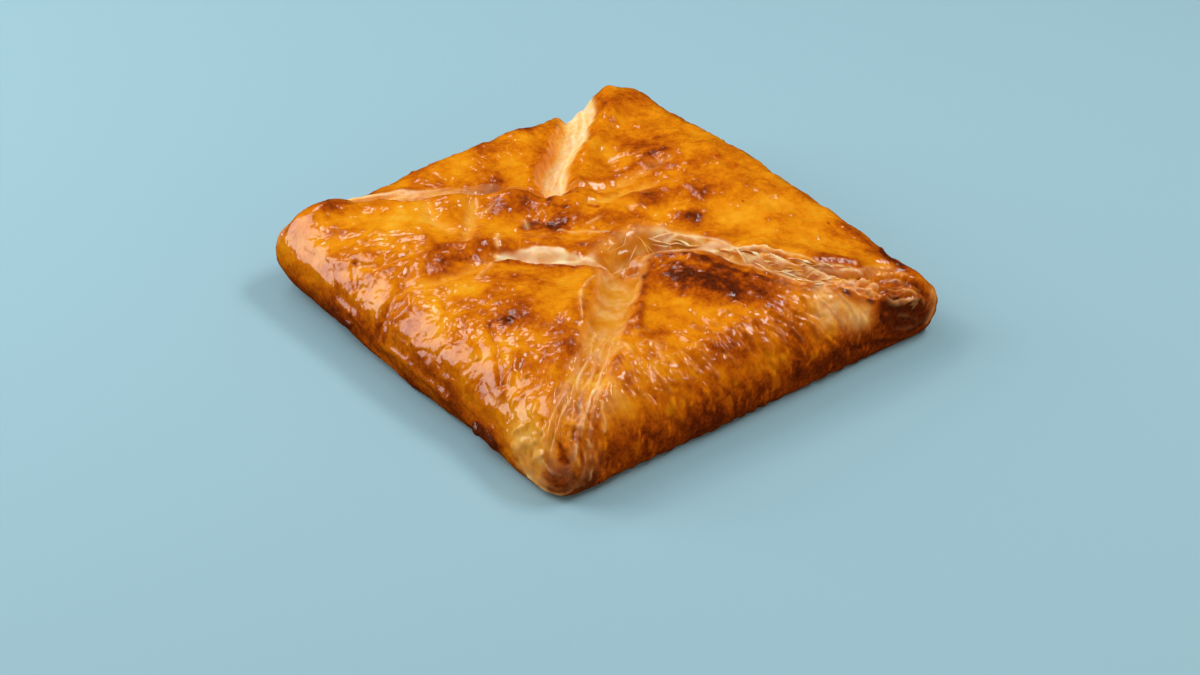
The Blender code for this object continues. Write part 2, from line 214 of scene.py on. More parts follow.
# Strokes on the crust: half width, rise, browning and paleness added, then their points. A point
# of two values lies on the crust at that place of the plan, and one of three has its own height.
# The browning that grooves of negative rise are given is partly deeper browning and partly
# painted shade in the grooves.
STROKES = (
    # Folds and grooves of the west flap.
    (2.2, -1.3, 0.1, 0, (-65, 20), (-72, 14), (-77, 13), (-81, 11), (-84, 11, 16)),
    (1.5, -0.8, 0.06, 0, (-76, 39), (-81, 31)),
    (1.2, -0.8, 0.1, 0, (-76, 39), (-73, 32), (-67, 28), (-60, 28)),
    (1.7, -1.1, 0.14, 0, (-64, -26), (-68, -35), (-72, -42), (-77, -49)),
    (1.2, 0.9, 0, 0, (-67, -38), (-66, -43), (-70, -48), (-76, -50)),
    (1.4, -0.6, 0.06, 0, (-68, -6), (-72, -14), (-77, -22)),
    (1.1, 0.7, 0, 0, (-77, -22), (-74, -27), (-75, -35)),
    (1, 0.5, 0, 0.1, (-76, -68), (-79, -71), (-80, -76)),
    (0.9, 0.6, 0, 0, (-62, -24), (-58, -27), (-57, -31)),
    (0.8, 0.6, 0, 0, (-56, -22), (-60, -29)),
    (0.8, -0.6, 0, 0, (-59, -22), (-60, -26), (-58, -30)),
    (0.8, 0.5, 0, 0, (-53, -18), (-55, -23)),
    # The two small pillows at its inner edge.
    (2.2, -1.2, -0.05, 0.15, (-22, 43), (-25, 38), (-32, 31), (-39, 22)),
    (2.2, -1, -0.04, 0.1, (-36, 51), (-39, 45), (-41, 38), (-39, 31)),
    (1.8, -0.8, 0, 0.05, (-41, 38), (-36, 32), (-32, 29)),
    (0.9, 0.4, 0, 0.35, (-24, 35), (-16, 37)),
    (5, 0.4, 0.1, 0, (-33, 41)),
    (6, 0.4, 0.16, 0, (-14, 32), (-8, 29)),
    # Its fold at the end of the pale strip.
    (0.9, 0.5, 0, 0.55, (-28, 19), (-32, 13)),
    (1.4, 0.3, 0, 0.75, (-34, 12), (-29, 7)),
    (1, 0.4, 0, 0.3, (-34, 11), (-42, 5), (-49, 1)),
    (2.4, -1, -0.05, 0.05, (-36, 12), (-47, 7), (-60, 8), (-71, 13)),
    # Its darker and lighter places.
    (8, 0, 0.15, 0, (-54, -15), (-56, -27)),
    (5, 0, 0.12, 0, (-63, -24), (-55, -33)),
    (7, 0, 0.17, 0, (-56, 14), (-46, 11)),
    (4, -0.3, 0.12, 0, (-49, 23)),
    (6, 0, 0.16, 0, (-80, 46), (-81, 34)),
    (4, 0.2, 0.14, 0, (-66, 71), (-59, 67)),
    # Darker along the low west side: partly deeper browning, partly painted shade under the shoulder.
    (5, 0, 0.18, 0, (-84, 24, 17), (-83, 4, 18)),
    (6, 0, 0.12, 0, (-84, 42, 14), (-85, 16, 13)),
    (5, 0, 0.16, 0, (-83, -6, 18), (-83, -29, 16)),
    (7, 0, -0.16, 0, (-57, 53), (-40, 37)),
    (5, 0, -0.16, 0, (-70, 9), (-55, -3)),
    (4, 0, -0.12, 0, (-72, 0), (-73, -10)),
    (4, 0, 0.12, 0, (-35, -16), (-43, -3)),
    # The tip and the folds of the east flap.
    (1.1, 0.5, 0.26, 0, (-3, 22), (1, 25), (6, 26), (9, 21)),
    (0.7, -0.3, 0.22, 0, (-2, 21), (3, 16)),
    (0.7, -0.3, 0.2, 0, (8, 13), (11, 10)),
    (0.7, 0.35, 0.02, 0.35, (-8, 10), (-5, 5), (0, 2), (5, -5)),
    (2, -0.9, -0.12, 0.1, (10, 15), (16, 13), (24, 14), (38, 12)),
    (1.3, -0.6, 0.14, 0, (19, 5), (19, 0), (20, -4)),
    (1.1, 0.8, 0.03, 0, (37, 7), (39, 0)),
    (1.1, 0.8, 0.03, 0, (45, 2), (45, -3), (43, -9)),
    (0.8, 0.5, 0, 0, (31, -10), (33, -12), (36, -16)),
    (0.8, 0.4, 0, 0.3, (2, 6), (8, 5)),
    (1.2, 0.7, 0.04, 0.35, (-13, 23), (-15, 18)),
    (1.3, 0.5, 0, 0, (69, 22), (67, 13), (62, 3)),
    (1.3, -0.5, 0.05, 0, (50, 29), (47, 18), (49, 10)),
    (1.2, 0.6, 0, 0, (44, 27), (43, 20), (44, 11)),
    (2, -0.5, 0.06, 0, (37, 43), (33, 30), (29, 23)),
    # Its blisters.
    (3.8, 0.9, 0.28, 0, (31, -12), (34, -15)),
    (1.5, 0.9, 0.05, 0, (24, 2)),
    (1.7, 0.9, 0.04, 0, (30, 5)),
    (1.7, 0.9, 0.04, 0, (21, -14)),
    (1.2, 0.7, 0.03, 0, (27, -21)),
    (1.1, 0.7, 0, 0, (62, -50)),
    (1.1, 0.7, 0, 0, (64, -22), (67, -23)),
    (0.6, 0, 0.35, 0, (54, -19)),
    (0.8, 0.2, 0.25, 0, (72, -45)),
    # Its darker and lighter places.
    (5, -0.3, 0.24, 0, (-12, 20), (-7, 14)),
    (3, 0, 0.18, 0, (-15, 20), (-6, 10)),
    (4, 0, 0.14, 0, (-4, 14), (20, -3)),
    (3, 0, 0.12, 0, (-15, 6), (-10, -3), (-5, -11)),
    (6, 0, 0.16, 0, (29, 3), (46, -4)),
    (4, 0, 0.14, 0, (42, 25), (54, 10)),
    (3.5, 0.2, 0.36, 0, (82, -63), (78, -73), (78, -78)),
    (3, 0, 0.14, 0, (77, -49), (78, -61), (76, -71)),
    (5, 0, 0.1, 0, (51, -64), (61, -74)),
    (7, 0, -0.05, 0, (45, -22), (59, -40)),
    # The rim and the folds of the south flap.
    (1.4, 0.6, 0.2, 0, (6, -28), (13, -37), (18, -51), (26, -66)),
    (1.2, 0.5, 0.08, 0.1, (26, -66), (32, -75), (36, -77), (40, -75)),
    (1.5, 0.8, 0.14, 0, (0, -28), (-9, -40), (-21, -53), (-27, -59)),
    (0.9, 0.9, 0, 0.15, (-32, -66), (-27, -67), (-28, -72), (-31, -77)),
    (0.9, 0.8, 0, 0, (-29, -76), (-33, -82), (-31, -84)),
    (1.4, -0.7, 0.06, 0, (-6, -62), (-7, -70), (-6, -75)),
    (1.4, -0.6, 0.06, 0, (-17, -67), (-20, -74), (-20, -81)),
    (2, 0.5, 0, 0, (-19, -85, 24), (-15, -87, 21), (-10, -88, 19)),
    # Its darker and lighter places.
    (4.5, 0.2, 0.3, 0, (4, -45), (10, -51)),
    (12, 0, 0.3, 0, (4, -34), (8, -48), (16, -62)),
    (5, 0, 0.14, 0, (13, -62), (21, -71)),
    (4.5, -0.4, 0.2, 0, (-21, -65)),
    (3.5, 0, 0.14, 0, (-28, -64)),
    (3, -0.4, 0.24, 0, (-48, -79)),
    (7, 0, -0.12, 0, (-2, -82, 27), (7, -84, 25)),
    (7, 0, 0.1, 0, (-2, -83, 26), (18, -85, 23)),
    (5, 0, -0.13, 0, (-8, -52), (-8, -57)),
    (6, 0, -0.12, 0, (22, -68), (26, -76)),
    (5, 0, -0.1, 0, (-35, -76), (-32, -80)),
    (5, 0, 0.12, 0, (-58, -89, 15), (-49, -89, 16)),
    # The torn leaf at its east end.
    (4, 0.3, -0.06, 0.55, (40, -85, 25), (44, -86, 22), (49, -88, 20)),
    (0.9, -0.6, 0.24, -0.2, (36, -83, 26), (41, -85, 24), (43, -88, 20)),
    (0.8, 0.7, 0, 0.2, (43, -82), (46, -86, 23), (47, -88, 19)),
    (0.8, 0.6, 0.05, 0.1, (49, -84, 24), (51, -87, 21)),
    (3.5, 0.2, 0, 0.45, (38, -79), (35, -82, 27), (34, -85, 24)),
    (1.3, 0.3, 0.3, 0, (35, -82, 27)),
    # Its long thin folds.
    (0.6, 1.2, 0, 0.1, (-8, -71), (-7, -75), (-8, -79)),
    (0.6, 1.1, 0, 0.1, (-2, -75), (-3, -78)),
    (0.6, 1.2, 0, 0.1, (1, -77), (3, -81), (5, -83, 25)),
    (0.6, 1.1, 0, 0.1, (7, -75), (7, -78)),
    (0.7, 1.2, 0, 0.1, (-16, -76), (-17, -79), (-14, -83, 26)),
    (0.7, 1.1, 0, 0.1, (23, -80), (20, -83, 26)),
    (0.7, 1.1, 0, 0.2, (33, -80), (32, -84, 25)),
    # Folds, blisters and a light place over the south west valley.
    # A ridge along the west flap's edge, paled along its crest as a painted highlight.
    (0.7, 1, 0, 0.4, (-18, -24), (-24, -27), (-29, -31), (-34, -37), (-38, -43)),
    (1.1, 0.8, 0, 0, (-45, -49)),
    (1, 0.7, 0, 0, (-49, -51)),
    (0.9, 0.4, 0, 0.3, (-41, -51), (-37, -52), (-36, -61), (-37, -69)),
    (6, 0, -0.1, 0.2, (-55, -74), (-56, -80)),
    # Torn leaf, folds and light places of the south west corner. The light places on its west face
    # are partly paler baking and partly painted light; its dark hollow is partly painted shade.
    (0.8, 0.5, 0, 0.4, (-65, -75), (-66, -79), (-68, -82)),
    (0.7, 0.5, 0, 0.4, (-59, -80), (-61, -84, 24), (-63, -87, 20)),
    (0.7, 0.6, 0, 0.45, (-73, -80, 24), (-70, -83, 23), (-67, -85, 22)),
    (0.7, 0.6, 0, 0.45, (-70, -86, 20), (-69, -88, 18), (-68, -87, 20)),
    (0.7, 0.5, 0, 0.5, (-74, -86, 19), (-75, -88, 16), (-75, -88, 13), (-76, -88, 8)),
    (0.6, 0.5, 0, 0.5, (-70, -88, 15), (-70, -89, 9), (-71, -89, 6)),
    (0.6, 0.4, 0, 0.4, (-72, -87, 18), (-72, -88, 14), (-73, -89, 10)),
    (0.7, 0.4, 0, 0.2, (-84, -78, 7), (-82, -86, 5), (-78, -89, 6), (-73, -89, 5)),
    (4, -0.5, 0.06, 0, (-82, -84, 11), (-80, -88, 10)),
    (3, 0, -0.1, 0.35, (-84, -72, 7), (-84, -76, 6), (-83, -79, 5)),
    (0.9, 0.6, -0.05, 0.5, (-84, -74, 5), (-83, -78, 4), (-82, -82, 3), (-80, -86, 3), (-77, -89, 5)),
    (0.7, 0.6, 0, 0.4, (-83, -81, 14), (-82, -84, 12), (-80, -87, 11)),
    (0.6, 0.5, 0, 0.3, (-83, -80, 8), (-82, -84, 7), (-80, -87, 7)),
    (6, 0, -0.05, 0.15, (-74, -89, 12)),
    # Lighter low on the west face: partly paler baking, partly painted light where the key light falls.
    (7, 0, -0.22, 0, (-84, -66, 8), (-84, -76, 6), (-83, -82, 8)),
    (0.9, 0.7, 0, 0, (-82, -66, 20), (-83, -70, 17), (-84, -72, 13)),
    (0.8, 0.6, 0, 0, (-80, -70), (-82, -74, 20), (-83, -78, 17)),
    (0.9, 0.7, 0, 0, (-79, -76), (-81, -80, 18), (-82, -82, 15)),
    (0.7, 0.6, 0, 0, (-76, -77), (-78, -82, 21)),
    (0.8, -0.6, 0.04, 0, (-81, -68, 21), (-83, -74, 17), (-84, -76, 12)),
    (0.8, -0.6, 0.04, 0, (-78, -74), (-81, -78, 20), (-82, -80, 17)),
    # A dark hollow: partly deeper browning, partly painted shade in it.
    (1.2, -0.7, 0.3, -0.3, (-78, -83, 20), (-79, -86, 17), (-78, -87, 15)),
    (0.8, -0.5, 0.15, -0.2, (-72, -85, 21), (-73, -88, 15), (-74, -89, 10)),
    # Lighter and paler on the west face: partly paler baking, partly painted light where the key light
    # falls.
    (9, 0, -0.14, 0, (-79, -67), (-81, -77)),
    (5, 0, -0.1, 0.1, (-84, -70, 13), (-84, -78, 12)),
    (1.3, 0.5, 0, 0, (-83, -62, 15), (-84, -65, 11), (-84, -68, 9)),
    (5, 0, -0.1, 0.15, (-83, -68, 17), (-82, -76, 17)),
    (1.6, 0.7, 0, 0.1, (-83, -70, 15), (-82, -75, 18)),
    (1.5, 0.6, 0, 0.1, (-83, -65, 17), (-81, -69, 21)),
    (1.6, 0.6, 0, 0.1, (-84, -66, 12), (-84, -70, 14)),
    (1.3, 0.6, 0, 0.1, (-84, -76, 12), (-82, -80, 16)),
    # Layers that run into the south east corner and turn back round it, with grooves between,
    # browner and less pale: partly deeper browning, partly painted shade in the grooves.
    (0.8, 0.7, 0, 0.35, (40, -77), (47, -75), (51, -74), (55, -76)),
    (0.8, 0.7, 0, 0.35, (53, -76), (55, -80), (58, -83), (59, -86)),
    (0.7, 0.7, 0, 0.3, (57, -72), (59, -78), (60, -83)),
    (0.7, 0.7, 0, 0.3, (44, -61), (48, -67), (55, -73), (58, -78), (60, -83)),
    (0.7, 0.7, 0, 0.3, (44, -65), (48, -70), (53, -75), (55, -80), (58, -84)),
    (0.7, -0.7, 0.18, -0.2, (48, -67), (54, -74), (57, -80)),
    (0.7, -0.7, 0.18, -0.2, (50, -75), (53, -78), (54, -85)),
    (0.9, -0.8, 0.22, 0, (53, -75), (56, -82), (57, -86)),
    (1.5, -0.4, 0.24, 0, (47, -81), (47, -83)),
    (1.4, 0, 0.4, 0, (53, -86, 24), (56, -87, 23)),
    (1.2, 0.5, 0.2, 0, (33, -73), (36, -76), (39, -77)),
    (5, 0, 0.1, -0.3, (63, -84, 23), (69, -85, 22), (75, -86, 20)),
    (0.7, 0.7, 0, 0.4, (66, -81, 24), (71, -81, 22), (73, -84, 22), (75, -87, 21), (77, -88, 19)),
    (0.7, 0.8, 0, 0.5, (63, -83, 23), (66, -85, 22), (71, -86, 21), (75, -88, 19)),
    (0.7, 0.8, 0, 0.5, (62, -85, 23), (64, -87, 22), (68, -87, 21), (72, -87, 21), (74, -88, 19)),
    (0.8, 0.9, 0, 0.5, (59, -85, 23), (61, -87, 22), (65, -88, 20), (69, -88, 19), (75, -89, 17)),
    (0.9, 0.9, -0.05, 0.3, (60, -87, 21), (64, -88, 19), (68, -89, 18), (76, -89, 18), (77, -89, 14)),
    (0.6, -0.6, 0.22, -0.2, (64, -82, 23), (68, -83, 22), (72, -84, 22), (74, -87, 20)),
    (0.6, -0.6, 0.22, -0.2, (63, -84, 23), (65, -86, 22), (69, -87, 21)),
    (0.6, -0.6, 0.22, -0.2, (60, -86, 22), (64, -87, 21), (68, -88, 20), (72, -88, 19)),
    (1.7, 0.8, -0.06, 0.15, (74, -80, 24), (79, -86, 21), (81, -88, 17), (79, -89, 14)),
    (0.8, 0.6, 0, 0.4, (72, -89, 16), (74, -89, 16), (73, -89, 14)),
    (1.2, -1, 0.22, 0, (65, -80, 24), (72, -83, 22), (76, -87, 21), (77, -88, 19), (77, -89, 16)),
    (0.8, -0.7, 0.25, 0, (70, -89, 17), (75, -89, 17), (76, -89, 15)),
    (3, -0.8, 0.26, 0, (60, -88, 19), (66, -89, 16), (73, -89, 13)),
    (6, 0, 0.1, 0, (62, -89, 15), (70, -90, 11), (77, -89, 11)),
    (1.1, -0.8, 0.2, 0, (63, -89, 15), (64, -90, 12)),
    (2, 0.3, -0.1, 0.25, (83, -88, 17), (83, -90, 12), (80, -89, 6)),
    # Below the south east corner, browner in its grooves and low folds: partly deeper browning,
    # partly painted shade under the corner.
    (6, -0.3, 0.16, 0, (62, -89, 15), (74, -89, 10)),
    (1, -0.7, 0.15, 0, (57, -89, 18), (59, -89, 11), (59, -88, 4)),
    (1, -0.6, 0.15, 0, (43, -89, 9), (55, -89, 7), (71, -87, 1)),
    (5, 0, -0.06, 0, (72, -89, 11), (81, -89, 9)),
    (0.8, 0.8, 0, 0.1, (66, -89, 14), (71, -90, 12), (76, -90, 8)),
    (0.8, 0.8, 0, 0.05, (65, -89, 9), (72, -89, 7), (80, -89, 8)),
    (0.9, -0.8, 0.15, 0, (62, -89, 12), (70, -90, 8), (79, -90, 7)),
    # Drips at the foot, and the edge of the sheet that shows there.
    (2.6, 2.2, 0.5, 0, (-83, -45, 7), (-83, -50, 7), (-83, -56, 7)),
    (1.5, 1.2, 0.35, 0, (-84, 42, 10), (-84, 36, 9), (-85, 29, 10)),
    (1.6, 1.2, -0.1, 0, (-84, 11, 12), (-85, -2, 13), (-84, -16, 12), (-84, -30, 11)),
)

# Rows of like strokes: how many, the first one's start, the step between two, the run of each,
# half width, rise, browning and paleness added. The rows of grooves are browner too: partly
# deeper browning, partly painted shade in them.
ROWS = (
    (7, (-65, -44), (1.4, -4.6), (-11, -9), 1.1, 0.7, 0, 0),
    (7, (-63, -47), (1.4, -4.6), (-11, -9), 1.1, -0.7, 0.06, 0),
    (13, (-46, -76), (6.9, 0), (0.8, -7), 0.8, 0.8, 0, 0),
    (12, (-42, -77), (7.2, 0), (0.5, -8), 1.1, -0.6, 0.06, 0),
    (12, (-43, -81), (7, 0), (2, -5), 0.7, 0.8, 0, 0.1),
    (11, (-38, -68), (6.7, 0.2), (1.5, -5), 0.6, 1, 0, 0.05),
    (8, (-37, -48), (-4.2, -3.6), (-6, -6), 0.5, 0.6, 0, 0.45),
    (8, (-33, -58), (-4.9, -3.3), (-7, -5), 0.5, 0.6, 0, 0.45),
    (5, (-39, -55), (-6.5, -5.4), (-8, -8), 0.7, -0.6, 0.14, 0),
    (5, (17, -17), (2.4, -4.4), (20, -29), 0.7, 0.7, 0, 0.6),
    (6, (36, -44), (-1.9, -2.6), (12, -25), 0.7, 0.7, 0, 0.5),
    (5, (35, -46), (-1.9, -2.6), (12, -25), 0.9, -0.7, 0.16, -0.3),
)
# How the strokes of a row differ: in place, in length, in the place of their end and in bend.
ROW_JITTER = {"place": 0.7, "length": (0.6, 1.15), "end": 0.8, "bend": 0.06}

# How strokes are drawn: how far they are followed, in half widths and millimetres; how much
# their edges wander, alike and by their half width; how patchy their colour is; and how far thin
# ones narrow to their ends.
DRAWING = {"reach": (2.3, 1.0), "wander": (0.4, 0.13), "patchy": 0.45, "narrowing": 0.45}

# Wide darker and lighter places: centre x, y, radii, turn in degrees, browning added.
PATCHES = (
    (55, 36, 12, 8, 50, 0.16),
    (-50, 15, 14, 7, 5, 0.08),
    (-60, 75, 8, 6, 20, 0.2),
    (-10, 51, 9, 4, 0, 0.28),
    (27, 78, 7, 5, 0, 0.36),
    (2, 68, 10, 8, 30, 0.14),
    (-30, 66, 12, 5, -20, 0.12),
    (74, 62, 6, 18, 10, 0.12),
    (-48, -48, 10, 8, 40, 0.1),
    # Two long bands along the south face, darker: partly deeper browning, partly painted shade.
    (-20, -88, 60, 9, 0, 0.12),
    (50, -88, 30, 9, 0, 0.1),
    (55, -30, 16, 24, 10, -0.05),
    (-52, 52, 12, 10, 0, -0.16),
)

# The fine relief of the crust, in millimetres: slow waves, the streaks of the top, the ripples of
# the glaze, the grain of the skin, and how torn leaf rises, sinks and frays.
SLOW_WAVES = {"high": 0.55, "long": 14.0}
STREAKS = {"high": 0.24, "way": (0.61, 0.79), "apart": 2.6, "long": 19.0}
GLAZE_RIPPLE = {"high": 0.15, "long": 5.0, "short": 2.3}
GRAIN = {"high": 0.06, "long": 1.3}
TORN = {"rise": 1.0, "sunk": 0.4, "fray": 0.12, "long": 2.0}

# Blisters all over the top: how many, how far out, from which height up, radii and rise.
BLISTERS = {"count": 420, "out": 88, "above": 15.0, "radius": (0.7, 1.9), "rise": (0.15, 0.6)}

# Drop-shaped bubbles low on the south side: their places along and up it, their width, how many
# times as tall they are, their lean, rise and browning.
DROPS = {
    "count": 70, "along": (-70.0, 62.0), "up": (-5.0, 9.0), "wide": (0.8, 1.8),
    "tall": (1.3, 2.2), "lean": (-0.3, 0.3), "rise": 0.45, "brown_and_shade": -0.16,
}

# Browning and painted shade, 0 pale gold to 1 burnt: that of plain crust, and what each thing adds to
# it.
BROWNING_AND_SHADE = {
    "plain": 0.475, "clouds": 0.09, "clouds_on_top": 0.07, "mottles": 0.07, "raised": 0.05,
    # south_side, low and low_west darken the lower sides: partly deeper browning, partly painted shade.
    "rims": 0.20, "south_side": 0.10, "low": 0.15, "low_west": 0.10, "foot": 0.14, "pale": -0.25,
}
BROWN_AND_SHADE_LIMITS = (0.02, 0.94)

# How much creamier the pale strokes make the leaf.
STROKE_CREAM = 0.15

# Threads of pulled leaf across the sunk middle: their ends, and how much higher they hang.
THREADS = (
    ((-5, -13), (7, -10), 0.9),
    ((-3, -12), (4, -10), 0.5),
    ((-3, -16), (12, -13), 1.2),
    ((1, -17), (10, -13), 0.7),
    ((10, -11), (5, -26), 0.9),
    ((12, -13), (6, -28), 0.5),
    ((2, -1), (5, -6), 0.3),
    ((-9, -11), (-3, -16), 0.4),
    ((4, -6), (10, -11), 0.4),
    ((14, -15), (18, -21), 0.7),
    ((-8, -18), (1, -24), 0.6),
)
# How the threads stray at their middle, how far their ends lie above the crust, and their form.
THREAD = {"stray": 1.1, "above": 0.2, "wide": (0.2, 0.42), "thick": 0.16, "sway": (-0.8, 0.8)}

# Loose flakes in one valley: the shares of its length and of its slopes that they lie in, their
# turn away from it in radians, and their form.
FLAKES = {
    "valley": "south_east", "count": 70, "along": (0.28, 0.98), "across": 0.9, "turn": 0.22,
    "long": (4.0, 10.0), "arch": (0.8, 1.5), "wide": (0.7, 1.7), "thick": 0.2, "sway": (-0.9, 0.9),
}

# Corners of the cross section of a loose leaf.
RIBBON_SIDES = 8

# Tones of the loose leaves, 0 amber to 1 cream, and how much darker the threads are.
LOOSE_TONES = (0.3, 1.0)
THREAD_DARKER = 0.3

# Colours of the baked crust by its browning, of torn leaf by its cream, of glassy leaf by its
# clouds and of the loose leaves by their tone.
BAKED_COLOURS = (
    (0.05, (0.90, 0.46, 0.04)),
    (0.28, (0.85, 0.33, 0.010)),
    (0.44, (0.76, 0.235, 0.004)),
    (0.58, (0.58, 0.135, 0.003)),
    (0.70, (0.40, 0.070, 0.003)),
    (0.84, (0.19, 0.028, 0.003)),
    (1.00, (0.06, 0.012, 0.004)),
)
LEAF_COLOURS = (
    (0.05, (0.58, 0.21, 0.020)),
    (0.32, (0.84, 0.40, 0.07)),
    (0.55, (0.95, 0.60, 0.23)),
    (0.85, (0.99, 0.77, 0.48)),
)
GLASS_COLOURS = (
    (0.38, (0.62, 0.22, 0.015)),
    (0.50, (0.73, 0.32, 0.050)),
    (0.60, (0.88, 0.56, 0.22)),
)
LOOSE_COLOURS = (
    (0.0, (0.80, 0.34, 0.05)),
    (0.5, (0.90, 0.51, 0.18)),
    (1.0, (0.97, 0.71, 0.42)),
)
# The browning over which the grains and pits of the crust grow from faint to strong.
BAKED_RANGE = (0.35, 0.75)

FLOOR_COLOUR = (0.30, 0.50, 0.58, 1.0)
SKY_COLOUR = (0.86, 0.90, 0.92, 1.0)
SKY_STRENGTH = 0.30

# The camera: its place and look direction in the plan, its lens, and the sensor it is for.
CAMERA_PLACE = (-437.36, -562.11, 453.41)
CAMERA_LOOK = (0.51579, 0.65782, -0.54885)
CAMERA_LENS = 70.0
SENSOR_WIDTH = 36.0

# The lights: direction from the pastry, distance and size in metres, power, and colour. Two of
# them have no mirror image in the glaze.
WHITE = (1.0, 1.0, 1.0)
LIGHTS = {
    "key_light": ((-0.548, 0.657, 0.57), 1.1, (0.58, 1.15), 9.2, WHITE),
    "fill_light": ((-0.30, -0.10, 0.95), 1.6, (1.4, 1.4), 3.2, WHITE),
    "low_light": ((0.10, -1.0, 0.32), 1.2, (1.2, 0.5), 3.0, (1.0, 0.72, 0.48)),
    "top_light": ((0.48, -0.20, 0.85), 1.0, (0.55, 0.20), 4.0, WHITE),
    "glint_light": ((0.095, 0.658, 0.746), 1.0, (0.3, 0.12), 0.9, WHITE),
}
UNSEEN_IN_GLAZE = ("fill_light", "low_light")

# How far the floor reaches each way, in metres.
FLOOR_REACH = 3.0

rng = np.random.default_rng(SEEDS["noise"])


def smoothstep(t):
    t = np.clip(t, 0.0, 1.0)
    return t * t * (3.0 - 2.0 * t)


def between(pair, share):
    """The first of the pair where share is 1, the second where it is 0, and a blend between."""
    return pair[1] + (pair[0] - pair[1]) * share


def oval(dx, dy, along, wide, turn):
    """A soft oval spot, 1 in its middle, from the distances to it; turn is in degrees."""
    c = math.cos(math.radians(turn))
    s = math.sin(math.radians(turn))
    u = (dx * c + dy * s) / along
    v = (-dx * s + dy * c) / wide
    return np.exp(-(u * u + v * v))


def band(gap, place):
    """A soft band beside a line, from the distance to it: the band's own distance and half width."""
    return np.exp(-(((gap - place[0]) / place[1]) ** 2))


# Gradient noise

SHUFFLE = rng.permutation(256)
SLOPES = rng.normal(size=(256, 3))
SLOPES /= np.linalg.norm(SLOPES, axis=1)[:, None]


def noise(x, y, z):
    """Smooth noise, about -1 to 1, with one wave to each unit of its coordinates."""
    p = np.stack(np.broadcast_arrays(x, y, z), -1).astype(float)
    cell = np.floor(p).astype(int)
    inside = p - cell
    fade = inside ** 3 * (inside * (inside * 6.0 - 15.0) + 10.0)
    total = np.zeros(p.shape[:-1])
    for corner in range(8):
        step = np.array([corner & 1, corner >> 1 & 1, corner >> 2 & 1])
        c = (cell + step) & 255
        pick = SHUFFLE[(SHUFFLE[(SHUFFLE[c[..., 0]] + c[..., 1]) & 255] + c[..., 2]) & 255]
        weight = np.where(step == 1, fade, 1.0 - fade).prod(-1)
        total += weight * (SLOPES[pick] * (inside - step)).sum(-1)
    return total * 1.7


def layered_noise(x, y, z, octaves=3, fall=0.5):
    total = 0.0
    size = 1.0
    for octave in range(octaves):
        grow = 2.03 ** octave
        total = total + size * noise(x * grow + 17.0 * octave, y * grow, z * grow - 9.0 * octave)
        size *= fall
    return total


def ridges(x, y, z):
    """Noise with sharp crests, 0 to 1."""
    return (1.0 - np.minimum(np.abs(noise(x, y, z)) * 1.6, 1.0)) ** 2


def waves(points, length, lift=0.0):
    """Coordinates of the points in waves of that length; each lift gives another pattern."""
    x, y, z = np.moveaxis(points / length, -1, 0)
    return x, y, z + lift


# The main form, as in the solid

def turn_from(theta, name):
    """Angle between direction theta and a side's or corner's own direction."""
    turn = theta - math.radians(FACING[name])
    return np.arctan2(np.sin(turn), np.cos(turn))


def roll_at(theta):
    """Waist height, foot inset and shoulder reach of the folds, in direction theta."""
    total = np.zeros((3,) + theta.shape)
    weight = np.zeros(theta.shape)
    for name, values in ROLL.items():
        turn = np.degrees(turn_from(theta, name))
        pull, span = CORNER_PULL if name in SHARPNESS else SIDE_PULL
        near = pull * np.exp(-((turn / span) ** 2))
        weight += near
        total += near * np.array(values).reshape((3,) + (1,) * theta.ndim)
    return total / weight


def outline_radius(theta):
    """Distance from the middle to the widest line of the folds, in direction theta."""
    power = np.zeros_like(theta)
    weight = np.zeros_like(theta)
    for name, sharp in SHARPNESS.items():
        near = np.exp(-((turn_from(theta, name) / SHARPNESS_SPAN) ** 2))
        power += near * sharp
        weight += near
    power /= weight
    total = np.zeros_like(theta)
    for side, reach in REACH.items():
        facing = np.clip(np.cos(turn_from(theta, side)), 1e-6, None)
        total += (facing / reach) ** power
    radius = total ** (-1.0 / power)
    degrees = np.degrees(theta) % 360.0
    for angle, width, amount in SWELLS:
        radius = radius + amount * np.exp(-(((degrees - angle) / width) ** 2))
    return radius


def smooth_path(points, per_leg=5):
    """Points along a Catmull-Rom curve through the given ones."""
    p = np.array(points, float)
    ends = np.vstack([2 * p[0] - p[1], p, 2 * p[-1] - p[-2]])
    rows = []
    for a, b, c, d in zip(ends[:-3], ends[1:-2], ends[2:-1], ends[3:]):
        for t in np.arange(per_leg) / per_leg:
            rows.append(0.5 * (2 * b + (c - a) * t + (2 * a - 5 * b + 4 * c - d) * t ** 2
                               + (3 * b - a - 3 * c + d) * t ** 3))
    rows.append(p[-1])
    return np.array(rows)


